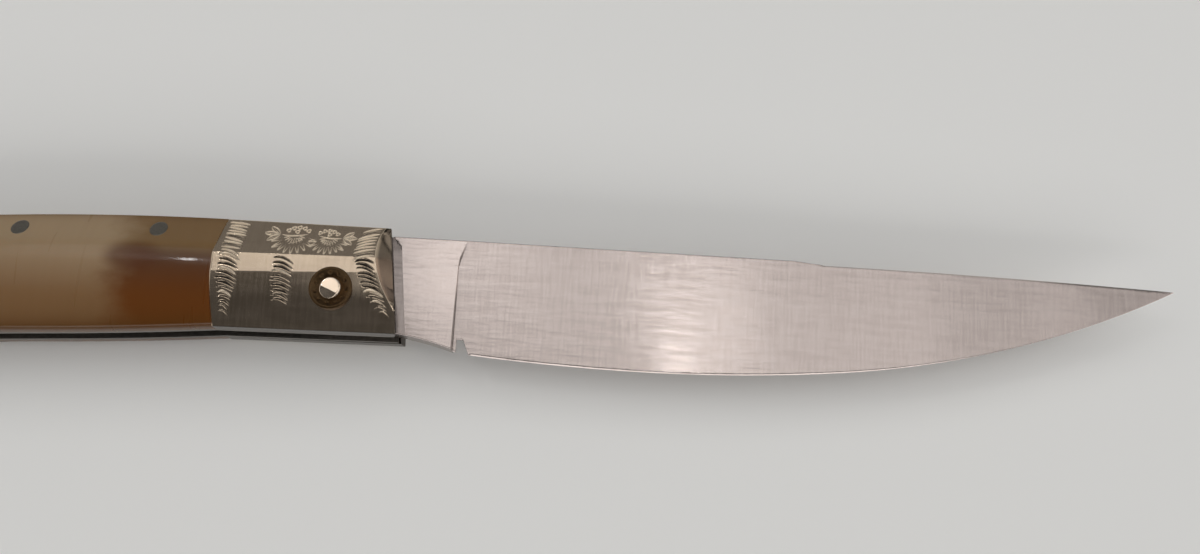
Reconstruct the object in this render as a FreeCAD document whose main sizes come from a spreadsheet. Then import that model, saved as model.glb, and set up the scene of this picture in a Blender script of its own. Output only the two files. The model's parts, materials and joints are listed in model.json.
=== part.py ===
import FreeCAD, Part
import math
import os
import Sketcher

# Folding knife, open and lying on its left side. Millimetres and degrees.
# Each piece is drawn about the pivot axis: X to the tip, Y to the spine, Z to the right side.

PIN_COUNT = 6
BOLSTER_PIN_COUNT = 2

DRIVING = {
    # Blade
    "blade_thickness": 3.2,      # across the ricasso
    "tip_thickness": 0.4,        # across the tip
    "edge_thickness": 0.3,       # across the cutting edge
    "blade_reach": 116.9,        # pivot axis to tip
    "spine_height": 8.95,        # pivot axis to spine
    "tip_drop": 1.2,             # tip below the spine
    "clip_place": 63.0,          # pivot axis to where the spine steps down
    "clip_length": 4.0,          # length of that step
    "clip_drop": 0.3,            # depth of that step
    "belly_place": 43.0,         # pivot axis to the lowest point of the edge
    "belly_depth": 8.0,
    "turn_place": 70.0,          # where the edge starts to sweep up to the tip
    "belly_radius": 243.0,       # curve of the edge from the belly to there
    "point_length": 17.0,        # length of the slender point, back from the tip
    "heel_place": 18.7,          # rear end of the edge
    "heel_rise": 0.95,           # heel above the belly
    "notch_width": 1.8,          # notch between kick and heel
    "notch_height": 2.1,         # notch roof above the heel
    "notch_lean": 0.7,           # how far the heel side of the notch leans
    "notch_round": 0.5,
    "kick_rise": 0.3,            # kick above the heel
    "throat_radius": 45.0,       # hollow under the ricasso, kick to tang
    "relief_place": 9.2,         # pivot axis to where the ricasso slopes down to the tang
    "relief_length": 1.6,        # length of that slope
    "shoulder_place": 2.6,       # pivot axis to the shoulder that stops the open blade
    # Fold
    "fold_short": 5.0,           # folded blade stops this angle short of a half turn
    "kick_gap": 0.1,             # folded kick to spacer
    "land_margin": 0.6,          # spacer's landing reaches past the folded kick
    "land_ramp": 1.5,            # run of the ramp behind the landing
    "tang_gap": 0.15,            # turning tang to spacer
    "stop_gap": 0.08,            # open shoulder to spacer
    "belly_room": 0.65,          # folded edge to spacer
    "tip_room": 1.8,             # folded tip to butt
    # Handle outline
    "front_top": 6.6,            # pivot axis to the bolster's front, at the back
    "front_foot": 8.5,           # the same at the underside
    "front_drop": 5.5,           # pivot axis to the underside at the bolster's front
    "bolster_back": 15.8,        # pivot axis to the bolster's rear corners
    "bolster_bow": 0.7,          # rear edge bows out this far behind its corners
    "bolster_drop": 5.95,        # pivot axis to the underside at the bolster's rear
    "back_radius": 420.0,        # arched back of the handle
    "swell_length": 26.0,        # swell of the underside behind the bolster
    "swell_start": 5.6,          # slope of the underside at the bolster
    "swell_end": 3.2,            # slope at the end of the swell
    "butt_slope": 18.4,          # slope of the underside at the butt
    "butt_wall": 4.0,            # spacer behind the folded tip, at the underside
    "butt_lean": 5.5,            # top of the butt stands this far behind its foot
    "butt_bow": 1.4,             # butt bows out this far
    # Handle layers
    "slide_gap": 0.1,            # ricasso to liner
    "liner_thickness": 0.8,
    "cheek_thickness": 3.4,      # bolster and scale
    "facet_height": 5.4,         # upper facet, along the side
    "back_lip": 0.2,             # cheek left at the back, beside the upper facet
    "keel_height": 3.5,          # lower facet, along the side
    "keel_depth": 1.2,           # lower facet, across the underside
    "ridge_round": 1.6,          # rounding of the scale's long ridges
    "butt_round": 1.2,           # rounding of the scale's butt
    "bevel_run": 2.2,            # bolster's front bevel, along its upper ridge
    "bevel_end": 4.0,            # pivot axis to where that bevel runs out
    "bevel_break": 0.35,         # small chamfer round that bevel
    "pin_wall": 0.53,            # back strip left under its pins
    "block_round": 6.0,          # inside corner of strip and butt block
    # Pins and washers
    "pivot_radius": 1.25,
    "pivot_fit": 0.03,           # radial clearance on the pivot
    "dome_lip": 0.3,             # dome wider than its shaft
    "dome_height": 0.95,
    "rosette_radius": 2.9,
    "rosette_depth": 1.2,        # let into the bolster
    "rosette_proud": 0.1,        # rim above the bolster
    "rosette_land": 0.35,        # width of the rim
    "rosette_dish": 0.45,        # centre below the rim
    "washer_radius": 4.4,
    "washer_thickness": 0.3,
    "washer_gap": 0.02,          # inner washer to liner
    "washer_run": 0.03,          # inner washer to tang
    "pin_radius": 1.2,
    "pin_fit": 0.02,             # radial clearance on fixed pins and rosettes
    "pin_inset": 2.25,           # pin axis below the back
    "first_pin": 9.5,            # bolster's rear corner to first handle pin
    "last_pin": 6.5,             # last handle pin to the top of the butt
    "bolster_pin_radius": 1.0,
    "bolster_pin_front": 3.5,    # spacer's front to first bolster pin
    "bolster_pin_rear": 4.0,     # last bolster pin to the bolster's rear corner
}

# Values worked out from the driving sizes. Places run along X and heights or depths along Y.
DERIVED = {
    # Blade outline
    "heel_depth": "belly_depth - heel_rise",
    "kick_depth": "heel_depth - kick_rise",
    "kick_place": "heel_place - notch_width",
    "notch_roof": "heel_depth - notch_height",
    "notch_wall": "heel_place - notch_lean",
    "notch_bend": "notch_wall - notch_round",
    "notch_bend_depth": "notch_roof + notch_round",
    "turn_angle": "asin((turn_place - belly_place) / belly_radius)",
    "turn_depth": "belly_depth - belly_radius * (1 - cos(turn_angle))",
    "tip_height": "spine_height - tip_drop",
    "clip_end": "clip_place + clip_length",
    "clip_height": "spine_height - clip_drop",
    "clip_fall": "clip_height - tip_height",
    "clip_radius": "((blade_reach - clip_end)^2 + clip_fall^2) / (2 * clip_fall)",
    "heel_radius": "((belly_place - heel_place)^2 + heel_rise^2) / (2 * heel_rise)",
    "sweep_run": "blade_reach - turn_place",
    "sweep_rise": "tip_height + turn_depth",
    "sweep_turn": "atan(sweep_rise / sweep_run) - turn_angle",
    "sweep_radius": "sqrt(sweep_run^2 + sweep_rise^2) / (2 * sin(sweep_turn))",
    # Blade thickness, half on each side
    "blade_half": "blade_thickness / 2",
    "edge_half": "edge_thickness / 2",
    "grind_length": "blade_reach - kick_place",
    "taper": "(blade_thickness - tip_thickness) / 2 / grind_length",
    "point_place": "blade_reach - point_length",
    "sweep_centre_place": "turn_place - sweep_radius * sin(turn_angle)",
    "sweep_centre_height": "sweep_radius * cos(turn_angle) - turn_depth",
    "point_depth": "sqrt(sweep_radius^2 - (point_place - sweep_centre_place)^2) - sweep_centre_height",
    "point_height": "clip_height - clip_fall * (point_place - clip_end) / (blade_reach - clip_end)",
    "tip_half": "tip_thickness / 2",
    "tip_over": "tip_half + blade_half * point_slope",
    "tip_under": "tip_half - blade_half * point_slope",
    "tip_above": "tip_height + blade_half",
    "tip_below": "blade_half - tip_height",
    # Fold
    "kick_folded_place": "kick_place * cos(fold_short) + kick_depth * sin(fold_short)",
    "kick_folded_height": "kick_depth * cos(fold_short) - kick_place * sin(fold_short)",
    "belly_folded_place": "belly_place * cos(fold_short) + belly_depth * sin(fold_short)",
    "belly_folded_height": "belly_depth * cos(fold_short) - belly_place * sin(fold_short)",
    "land_height": "kick_folded_height + kick_gap",
    "land_end": "kick_folded_place + land_margin",
    "ramp_end": "land_end + land_ramp",
    "tang_radius": "land_height - tang_gap",
    "tang_foot": "tang_radius * sin(30)",
    "tang_foot_depth": "tang_radius * cos(30)",
    "shoulder_foot": "sqrt(tang_radius^2 - shoulder_place^2)",
    "spacer_front": "shoulder_place + stop_gap",
    # Handle outline
    "spacer_depth": "pin_inset + pin_bore + pin_wall",
    "arch_drop": "back_radius - sqrt(back_radius^2 - (belly_folded_place - bolster_back)^2)",
    "handle_top": "belly_folded_height + belly_room + spacer_depth + arch_drop",
    "back_centre": "handle_top - back_radius",
    "strip_radius": "back_radius - spacer_depth",
    "block_place": "blade_reach + tip_room",
    "butt_foot_place": "block_place + butt_wall",
    "butt_top_place": "butt_foot_place + butt_lean",
    "butt_top_height": "back_centre + sqrt(back_radius^2 - (butt_top_place - bolster_back)^2)",
    "swell_place": "bolster_back + swell_length",
    "swell_radius": "swell_length / (sin(swell_start) - sin(swell_end))",
    "swell_depth": "bolster_drop + swell_radius * (cos(swell_end) - cos(swell_start))",
    "keel_radius": "(butt_foot_place - swell_place) / (sin(butt_slope) - sin(swell_end))",
    "keel_centre_place": "swell_place - keel_radius * sin(swell_end)",
    "keel_centre_depth": "swell_depth + keel_radius * cos(swell_end)",
    "butt_depth": "keel_centre_depth - keel_radius * cos(butt_slope)",
    "butt_chord": "sqrt(butt_lean^2 + (butt_top_height + butt_depth)^2)",
    "butt_radius": "(butt_chord^2 / 4 + butt_bow^2) / (2 * butt_bow)",
    "bow_radius": "((handle_top + bolster_drop)^2 / 4 + bolster_bow^2) / (2 * bolster_bow)",
    "block_depth": "keel_centre_depth - sqrt(keel_radius^2 - (block_place - keel_centre_place)^2)",
    "block_roof": "back_centre + sqrt(strip_radius^2 - (block_place - bolster_back)^2)",
    "ramp_height": "back_centre + sqrt(strip_radius^2 - (ramp_end - bolster_back)^2)",
    # Handle layers, from the middle plane outwards
    "slot_half": "blade_half + slide_gap",
    "slot_width": "2 * slot_half",
    "liner_face": "slot_half + liner_thickness",
    "cheek_face": "liner_face + cheek_thickness",
    "handle_width": "2 * cheek_face",
    "facet_foot": "liner_face + back_lip",
    "facet_depth": "cheek_thickness - back_lip",
    "washer_face": "slot_half - washer_gap",
    "washer_floor": "washer_face - washer_thickness",
    "tang_half": "washer_floor - washer_run",
    "relief_end": "relief_place - relief_length",
    "rosette_floor": "cheek_face - rosette_depth",
    "rosette_rim": "cheek_face + rosette_proud",
    "rosette_centre": "rosette_rim - rosette_dish",
    "rosette_lip": "rosette_radius - rosette_land",
    "dome_radius": "pivot_radius + dome_lip",
    "dome_top": "rosette_centre + dome_height",
    "dome_sphere": "(dome_radius^2 + dome_height^2) / (2 * dome_height)",
    # Front bevel of the bolster, a sloping plane that runs out at the back and low on the side
    "ridge_height": "handle_top - facet_height",
    "front_lean": "(front_foot - front_top) / (handle_top + front_drop)",
    "front_at_ridge": "front_top + front_lean * facet_height",
    "front_at_end": "front_foot - front_lean * (front_drop - bevel_end)",
    "bevel_lean": "(front_at_end - front_at_ridge + bevel_run) / (ridge_height + bevel_end)",
    "bevel_top": "front_at_ridge - bevel_run - bevel_lean * facet_height",
    "bevel_foot": "front_at_end + bevel_lean * (bolster_drop - bevel_end)",
    "bevel_slide": "(front_top - bevel_top) * cheek_thickness / facet_depth",
    "bevel_low_top": "bevel_top + bevel_slide",
    "bevel_low_foot": "bevel_foot + bevel_slide",
    "bevel_reach": "bevel_low_foot + bevel_slide",
    # Bores
    "pivot_bore": "pivot_radius + pivot_fit",
    "pin_bore": "pin_radius + pin_fit",
    "bolster_pin_bore": "bolster_pin_radius + pin_fit",
    "rosette_seat": "rosette_radius + pin_fit",
    "rosette_cut": "2 * rosette_depth",
    "through": "2 * (spine_height + handle_width)",
    # Rows of pins
    "pin_path": "back_radius - pin_inset",
    "pin_pitch": f"(butt_top_place - bolster_back - first_pin - last_pin) / {PIN_COUNT - 1}",
    "bolster_pin_height": "handle_top - pin_inset",
    "bolster_pin_start": "spacer_front + bolster_pin_front",
    "bolster_pin_pitch": f"(bolster_back - bolster_pin_rear - bolster_pin_start) / {BOLSTER_PIN_COUNT - 1}",
    "facet_rise": "pin_inset - facet_height",
    # Pivot axis in the part's frame, whose origin is under the middle of the whole knife
    "pivot_x": "(butt_top_place - blade_reach) / 2",
    "pivot_y": "(butt_depth - handle_top) / 2",
    "pivot_z": "dome_top",
}

# Stations along the ground sides of the blade: place, height of the spine and depth of the edge.
# Between spine and edge each side is straight, and the cut runs past both.
STATIONS = {
    "heel": ("kick_place", "spine_height", "heel_depth"),
    "belly": ("belly_place", "spine_height", "belly_depth"),
    "turn": ("turn_place", "clip_height", "turn_depth"),
    "point": ("point_place", "point_height", "point_depth"),
}
for station, (place, height, depth) in STATIONS.items():
    DERIVED[station + "_half"] = f"blade_half - taper * ({place} - kick_place)"
    DERIVED[station + "_slope"] = f"({station}_half - edge_half) / ({height} + {depth})"
    DERIVED[station + "_over"] = f"{station}_half + blade_half * {station}_slope"
    DERIVED[station + "_under"] = f"edge_half - blade_half * {station}_slope"
    DERIVED[station + "_above"] = f"{height} + blade_half"
    DERIVED[station + "_below"] = f"{depth} + blade_half"

for number in range(PIN_COUNT):
    pin = f"pin_{number + 1}"
    DERIVED[pin + "_place"] = f"bolster_back + first_pin + {number} * pin_pitch"
    DERIVED[pin + "_height"] = f"back_centre + sqrt(pin_path^2 - ({pin}_place - bolster_back)^2)"
    DERIVED[pin + "_turn"] = f"asin(({pin}_place - bolster_back) / pin_path)"
for number in range(BOLSTER_PIN_COUNT):
    DERIVED[f"bolster_pin_{number + 1}_place"] = f"bolster_pin_start + {number} * bolster_pin_pitch"

doc = FreeCAD.newDocument("folding_knife")
sheet = doc.addObject("Spreadsheet::Sheet", "Sizes")
for row, (alias, number) in enumerate(DRIVING.items(), start=1):
    sheet.set(f"A{row}", str(number))
    sheet.setAlias(f"A{row}", alias)
for row, (alias, formula) in enumerate(DERIVED.items(), start=1):
    sheet.set(f"B{row}", "=" + formula)
    sheet.setAlias(f"B{row}", alias)
doc.recompute()


# Drawing helpers. A size is named by its alias, with a minus sign before it where it runs the other way.

def bound(name):
    if name == "0":
        return "0"
    if name.startswith("-"):
        return "-Sizes." + name[1:]
    return "Sizes." + name


def measure(name):
    return float(sheet.evalExpression(bound(name)))


def spot(x, y, z="0"):
    return FreeCAD.Vector(measure(x), measure(y), measure(z))


def new_body(label):
    body = doc.addObject("PartDesign::Body", label)
    body.Label = label
    for axis in "xyz":
        body.setExpression(f"Placement.Base.{axis}", f"Sizes.pivot_{axis}")
    return body


def base_plane(body, plane):
    return [entry for entry in body.Origin.OriginFeatures if entry.Role == plane][0]


def new_sketch(body, name, plane, lift="0"):
    sketch = body.newObject("Sketcher::SketchObject", body.Name + "_" + name)
    sketch.AttachmentSupport = [(base_plane(body, plane), "")]
    sketch.MapMode = "FlatFace"
    sketch.setExpression("AttachmentOffset.Base.z", bound(lift))
    return sketch


def bind_constraint(sketch, constraint, name):
    index = sketch.addConstraint(constraint)
    sketch.setExpression(f"Constraints[{index}]", bound(name))


def bind_point(sketch, geometry, end, x, y):
    bind_constraint(sketch, Sketcher.Constraint("DistanceX", -1, 1, geometry, end, measure(x)), x)
    bind_constraint(sketch, Sketcher.Constraint("DistanceY", -1, 1, geometry, end, measure(y)), y)


def add_side(sketch, start, stop, bend):
    # Adds one side and returns its number and which of its ends is the start.
    if bend is None:
        return sketch.addGeometry(Part.LineSegment(start, stop)), 1
    radius = measure(bend[0])
    chord = stop - start
    across = FreeCAD.Vector(chord.y, -chord.x, 0).normalize()
    reach = math.sqrt(radius ** 2 - (chord.Length / 2) ** 2)
    left = bend[1] == "left"
    centre = start + chord * 0.5 + across * (reach if left else -reach)
    first, last = (stop, start) if left else (start, stop)
    angles = [math.atan2(end.y - centre.y, end.x - centre.x) for end in (first, last)]
    circle = Part.Circle(centre, FreeCAD.Vector(0, 0, 1), radius)
    return sketch.addGeometry(Part.ArcOfCircle(circle, *angles)), (2 if left else 1)


def draw_outline(sketch, corners, bends=None):
    # Closed outline. A bend gives the radius of the side after that corner and the way it bows.
    bends = bends or {}
    points = [spot(*corner) for corner in corners]
    sides = []
    for number, start in enumerate(points):
        stop = points[(number + 1) % len(points)]
        sides.append(add_side(sketch, start, stop, bends.get(number)))
    for number, (side, end) in enumerate(sides):
        following, following_start = sides[(number + 1) % len(sides)]
        sketch.addConstraint(Sketcher.Constraint("Coincident", side, 3 - end, following, following_start))
        bind_point(sketch, side, end, *corners[number])
        if number in bends:
            bind_constraint(sketch, Sketcher.Constraint("Radius", side, measure(bends[number][0])),
                            bends[number][0])


def draw_circle(sketch, x, y, radius):
    circle = Part.Circle(spot(x, y), FreeCAD.Vector(0, 0, 1), measure(radius))
    index = sketch.addGeometry(circle)
    bind_point(sketch, index, 3, x, y)
    bind_constraint(sketch, Sketcher.Constraint("Radius", index, measure(radius)), radius)


def add_feature(body, kind, name, sketch=None):
    feature = body.newObject("PartDesign::" + kind, body.Name + "_" + name)
    if sketch:
        feature.Profile = sketch
    return feature


def add_pad(body, name, sketch, length, both_ways=False):
    pad = add_feature(body, "Pad", name, sketch)
    pad.setExpression("Length", bound(length))
    pad.SideType = "Symmetric" if both_ways else "One side"
    doc.recompute()
    return pad


def add_cut(body, name, sketch, length):
    # Cuts half the length to each side of the sketch.
    before = body.Shape.Volume
    cut = add_feature(body, "Pocket", name, sketch)
    cut.setExpression("Length", bound(length))
    cut.SideType = "Symmetric"
    doc.recompute()
    if not body.Shape.Volume < before:
        raise RuntimeError(cut.Name + " cuts nothing")
    return cut


def add_turned(body, name, corners, bends=None):
    # Turned piece: radius and height corners, turned about the pivot axis.
    sketch = new_sketch(body, name + "_section", "XZ_Plane")
    draw_outline(sketch, corners, bends)
    turned = add_feature(body, "Revolution", name, sketch)
    turned.ReferenceAxis = (sketch, ["V_Axis"])
    turned.Angle = 360
    doc.recompute()
    return turned


def edge_between(shape, start, stop):
    ends = (start, stop)
    for number, edge in enumerate(shape.Edges, start=1):
        tips = [vertex.Point for vertex in edge.Vertexes]
        if len(tips) != 2:
            continue
        for first, last in (tips, tips[::-1]):
            if first.isEqual(ends[0], 0.001) and last.isEqual(ends[1], 0.001):
                return f"Edge{number}"
    raise RuntimeError("no edge there")


def add_chamfer(body, name, base, edge, along_side, across):
    # Facet that takes one distance off the flat side and the other off the back or underside.
    # The first distance belongs to the first face at the edge, which may be either of the two.
    chamfer = add_feature(body, "Chamfer", name)
    chamfer.Base = (base, [edge])
    chamfer.ChamferType = "Two distances"
    meeting = base.Shape.getElement(edge)
    first = [face for face in base.Shape.Faces if any(side.isSame(meeting) for side in face.Edges)][0]
    chamfer.FlipDirection = abs(first.normalAt(0, 0).z) < 0.5
    chamfer.setExpression("Size", bound(along_side))
    chamfer.setExpression("Size2", bound(across))
    doc.recompute()
    return chamfer


def add_fillet(body, name, base, edges, radius):
    fillet = add_feature(body, "Fillet", name)
    fillet.Base = (base, edges)
    fillet.setExpression("Radius", bound(radius))
    doc.recompute()
    return fillet


def facing(face):
    low_u, high_u, low_v, high_v = face.ParameterRange
    return face.normalAt((low_u + high_u) / 2, (low_v + high_v) / 2)


def edges_where(shape, wanted):
    # Names of the edges whose two faces, the one that looks more outwards first, pass the test.
    names = []
    for number, edge in enumerate(shape.Edges, start=1):
        faces = [face for face in shape.Faces if any(side.isSame(edge) for side in face.Edges)]
        normals = sorted([facing(face) for face in faces], key=lambda normal: normal.z, reverse=True)
        if len(normals) == 2 and wanted(edge, *normals):
            names.append(f"Edge{number}")
    return names


def mirror_piece(source, label):
    piece = doc.addObject("Part::Mirroring", label)
    piece.Label = label
    piece.Source = source
    piece.Normal = FreeCAD.Vector(0, 0, 1)
    piece.setExpression("Base.z", "Sizes.pivot_z")
    return piece


def add_pin_bores(body, with_bolster_pins, with_handle_pins):
    sketch = new_sketch(body, "pin_bores", "XY_Plane")
    if with_bolster_pins:
        for number in range(BOLSTER_PIN_COUNT):
            draw_circle(sketch, f"-bolster_pin_{number + 1}_place", "bolster_pin_height", "bolster_pin_bore")
    if with_handle_pins:
        for number in range(PIN_COUNT):
            draw_circle(sketch, f"-pin_{number + 1}_place", f"pin_{number + 1}_height", "pin_bore")
    return add_cut(body, "pin_bore_cut", sketch, "through")


def add_pivot_bore(body, radius):
    sketch = new_sketch(body, "pivot_bore", "XY_Plane")
    draw_circle(sketch, "0", "0", radius)
    return add_cut(body, "pivot_bore_cut", sketch, "through")


# Outlines that several pieces share

BACK_START = ("-bolster_back", "handle_top")
BUTT_TOP = ("-butt_top_place", "butt_top_height")
BUTT_FOOT = ("-butt_foot_place", "-butt_depth")
SWELL_END = ("-swell_place", "-swell_depth")
SWELL_START = ("-bolster_back", "-bolster_drop")
FRONT_TOP = ("front_top", "handle_top")
FRONT_FOOT = ("front_foot", "-front_drop")
HANDLE_REAR = [BACK_START, BUTT_TOP, BUTT_FOOT, SWELL_END, SWELL_START]
REAR_BENDS = {
    0: ("back_radius", "right"),
    1: ("butt_radius", "right"),
    2: ("keel_radius", "left"),
    3: ("swell_radius", "right"),
}


# Blade, edge downwards in Y and tip along X

def grind_sides(body):
    places = {station: place for station, (place, height, depth) in STATIONS.items()}
    places["tip"] = "blade_reach"
    sections = []
    for station, place in places.items():
        section = new_sketch(body, station + "_section", "YZ_Plane", place)
        draw_outline(section, [
            (station + "_above", station + "_over"),
            ("-" + station + "_below", station + "_under"),
            ("-" + station + "_below", "blade_thickness"),
            (station + "_above", "blade_thickness"),
        ])
        sections.append(section)
    grind = add_feature(body, "SubtractiveLoft", "grind", sections[0])
    grind.Sections = sections[1:]
    doc.recompute()
    other_side = add_feature(body, "Mirrored", "grind_other_side")
    other_side.Originals = [grind]
    other_side.MirrorPlane = (base_plane(body, "XY_Plane"), [""])
    body.Tip = other_side
    doc.recompute()


def make_blade():
    body = new_body("blade")
    outline = new_sketch(body, "outline", "XY_Plane")
    corners = [
        ("-shoulder_place", "shoulder_foot"),
        ("-shoulder_place", "spine_height"),
        ("clip_place", "spine_height"),
        ("clip_end", "clip_height"),
        ("blade_reach", "tip_height"),
        ("turn_place", "-turn_depth"),
        ("belly_place", "-belly_depth"),
        ("heel_place", "-heel_depth"),
        ("notch_wall", "-notch_bend_depth"),
        ("notch_bend", "-notch_roof"),
        ("kick_place", "-notch_roof"),
        ("kick_place", "-kick_depth"),
        ("tang_foot", "-tang_foot_depth"),
        ("-tang_radius", "0"),
    ]
    bends = {
        3: ("clip_radius", "left"),
        4: ("sweep_radius", "left"),
        5: ("belly_radius", "left"),
        6: ("heel_radius", "left"),
        8: ("notch_round", "right"),
        11: ("throat_radius", "right"),
        12: ("tang_radius", "left"),
        13: ("tang_radius", "left"),
    }
    draw_outline(outline, corners, bends)
    add_pad(body, "plate", outline, "blade_thickness", both_ways=True)
    grind_sides(body)
    relief = new_sketch(body, "relief", "XZ_Plane")
    for side in ("", "-"):
        draw_outline(relief, [
            ("relief_place", side + "blade_half"),
            ("relief_end", side + "tang_half"),
            ("-bolster_back", side + "tang_half"),
            ("-bolster_back", side + "blade_thickness"),
            ("relief_place", side + "blade_thickness"),
        ])
    add_cut(body, "relief_cut", relief, "through")
    add_pivot_bore(body, "pivot_bore")
    return body


# Handle sides, made for the right and mirrored for the left

def make_liner():
    body = new_body("right_liner")
    outline = new_sketch(body, "outline", "XY_Plane", "slot_half")
    bends = {number + 1: bend for number, bend in REAR_BENDS.items()}
    draw_outline(outline, [FRONT_TOP] + HANDLE_REAR + [FRONT_FOOT], bends)
    add_pad(body, "plate", outline, "liner_thickness")
    add_pin_bores(body, with_bolster_pins=True, with_handle_pins=True)
    add_pivot_bore(body, "pivot_bore")
    return body


def make_bolster():
    body = new_body("right_bolster")
    outline = new_sketch(body, "outline", "XY_Plane", "liner_face")
    draw_outline(outline, [FRONT_TOP, BACK_START, SWELL_START, FRONT_FOOT], {1: ("bow_radius", "right")})
    block = add_pad(body, "block", outline, "cheek_thickness")
    face = "cheek_face"
    top = edge_between(block.Shape, spot(*FRONT_TOP, face), spot(*BACK_START, face))
    facet = add_chamfer(body, "facet", block, top, "facet_height", "facet_depth")
    foot = edge_between(facet.Shape, spot(*FRONT_FOOT, face), spot(*SWELL_START, face))
    add_chamfer(body, "keel", facet, foot, "keel_height", "keel_depth")
    sections = []
    for height, lower in ((face, ""), ("liner_face", "low_")):
        section = new_sketch(body, height + "_bevel", "XY_Plane", height)
        draw_outline(section, [
            (f"bevel_{lower}top", "handle_top"),
            (f"bevel_{lower}foot", "-bolster_drop"),
            ("bevel_reach", "-bolster_drop"),
            ("bevel_reach", "handle_top"),
        ])
        sections.append(section)
    bevel = add_feature(body, "SubtractiveLoft", "bevel", sections[0])
    bevel.Sections = sections[1:]
    doc.recompute()
    rim = edges_where(bevel.Shape, lambda edge, outer, slope: abs(outer.x) < 0.1 and slope.x > 0.3
                      and slope.z > 0.3)
    corner = add_feature(body, "Chamfer", "bevel_rim")
    corner.Base = (bevel, rim)
    corner.setExpression("Size", "Sizes.bevel_break")
    doc.recompute()
    seat = new_sketch(body, "seat", "XY_Plane", face)
    draw_circle(seat, "0", "0", "rosette_seat")
    add_cut(body, "seat_cut", seat, "rosette_cut")
    add_pin_bores(body, with_bolster_pins=True, with_handle_pins=False)
    add_pivot_bore(body, "pivot_bore")
    return body


def make_scale():
    body = new_body("right_scale")
    outline = new_sketch(body, "outline", "XY_Plane", "liner_face")
    draw_outline(outline, HANDLE_REAR, {**REAR_BENDS, 4: ("bow_radius", "left")})
    block = add_pad(body, "block", outline, "cheek_thickness")
    face = "cheek_face"
    top = edge_between(block.Shape, spot(*BACK_START, face), spot(*BUTT_TOP, face))
    facet = add_chamfer(body, "facet", block, top, "facet_height", "facet_depth")
    foot = edge_between(facet.Shape, spot(*BUTT_FOOT, face), spot(*SWELL_END, face))
    keel = add_chamfer(body, "keel", facet, foot, "keel_height", "keel_depth")
    ridges = edges_where(keel.Shape, lambda edge, flat, slope: flat.z > 0.999 and slope.z > 0.1)
    soft = add_fillet(body, "ridges", keel, ridges, "ridge_round")
    butt_reach = -measure("butt_foot_place")
    rim = edges_where(soft.Shape, lambda edge, outer, wall: edge.BoundBox.XMax < butt_reach + 0.001
                      and outer.z > 0.1 and abs(wall.z) < 0.1)
    add_fillet(body, "butt", soft, rim, "butt_round")
    add_pin_bores(body, with_bolster_pins=False, with_handle_pins=True)
    return body


def make_spacer():
    body = new_body("back_spacer")
    outline = new_sketch(body, "outline", "XY_Plane")
    draw_outline(outline, [
        ("-spacer_front", "handle_top"),
        BACK_START,
        BUTT_TOP,
        BUTT_FOOT,
        ("-block_place", "-block_depth"),
        ("-block_place", "block_roof"),
        ("-ramp_end", "ramp_height"),
        ("-land_end", "land_height"),
        ("-spacer_front", "land_height"),
    ], {
        1: REAR_BENDS[0],
        2: REAR_BENDS[1],
        3: REAR_BENDS[2],
        5: ("strip_radius", "left"),
    })
    strip = add_pad(body, "strip", outline, "slot_width", both_ways=True)
    corner = edge_between(strip.Shape, spot("-block_place", "block_roof", "slot_half"),
                          spot("-block_place", "block_roof", "-slot_half"))
    add_fillet(body, "corner", strip, [corner], "block_round")
    add_pin_bores(body, with_bolster_pins=True, with_handle_pins=True)
    return body


# Pivot and washers

def make_pivot():
    body = new_body("pivot_pin")
    add_turned(body, "rivet", [
        ("0", "-dome_top"),
        ("dome_radius", "-rosette_centre"),
        ("pivot_radius", "-rosette_centre"),
        ("pivot_radius", "rosette_centre"),
        ("dome_radius", "rosette_centre"),
        ("0", "dome_top"),
    ], {0: ("dome_sphere", "right"), 4: ("dome_sphere", "right")})
    return body


def make_rosette():
    body = new_body("right_rosette")
    add_turned(body, "dish", [
        ("pivot_bore", "rosette_floor"),
        ("rosette_radius", "rosette_floor"),
        ("rosette_radius", "rosette_rim"),
        ("rosette_lip", "rosette_rim"),
        ("dome_radius", "rosette_centre"),
        ("pivot_bore", "rosette_centre"),
    ])
    return body


def make_inner_washer():
    body = new_body("right_inner_washer")
    ring = new_sketch(body, "ring", "XY_Plane", "washer_floor")
    draw_circle(ring, "0", "0", "washer_radius")
    draw_circle(ring, "0", "0", "pivot_bore")
    add_pad(body, "disc", ring, "washer_thickness")
    return body


# Fixed pins, filed flush with the upper facets of both sides

def make_pin(label, radius, place, height, turn=None):
    body = new_body(label)
    body.setExpression("Placement.Base.x", f"Sizes.pivot_x - Sizes.{place}")
    body.setExpression("Placement.Base.y", f"Sizes.pivot_y + Sizes.{height}")
    if turn:
        body.setExpression("Placement.Rotation.Angle", "Sizes." + turn)
    ring = new_sketch(body, "ring", "XY_Plane")
    draw_circle(ring, "0", "0", radius)
    add_pad(body, "rod", ring, "handle_width", both_ways=True)
    flush = new_sketch(body, "flush", "YZ_Plane")
    for side in ("", "-"):
        draw_outline(flush, [
            ("pin_inset", side + "facet_foot"),
            ("facet_rise", side + "cheek_face"),
            ("pin_inset", side + "cheek_face"),
        ])
    add_cut(body, "flush_cut", flush, "through")
    return body


blade = make_blade()
pieces = [blade, make_spacer(), make_pivot()]
for maker, other in (
    (make_liner, "left_liner"),
    (make_bolster, "left_bolster"),
    (make_scale, "left_scale"),
    (make_rosette, "left_rosette"),
    (make_inner_washer, "left_inner_washer"),
):
    right = maker()
    pieces += [right, mirror_piece(right, other)]
for number in range(PIN_COUNT):
    pin = f"pin_{number + 1}"
    pieces.append(make_pin("handle_" + pin, "pin_radius", pin + "_place", pin + "_height", pin + "_turn"))
for number in range(BOLSTER_PIN_COUNT):
    pin = f"bolster_pin_{number + 1}"
    pieces.append(make_pin(pin, "bolster_pin_radius", pin + "_place", "bolster_pin_height"))
doc.recompute()

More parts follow.
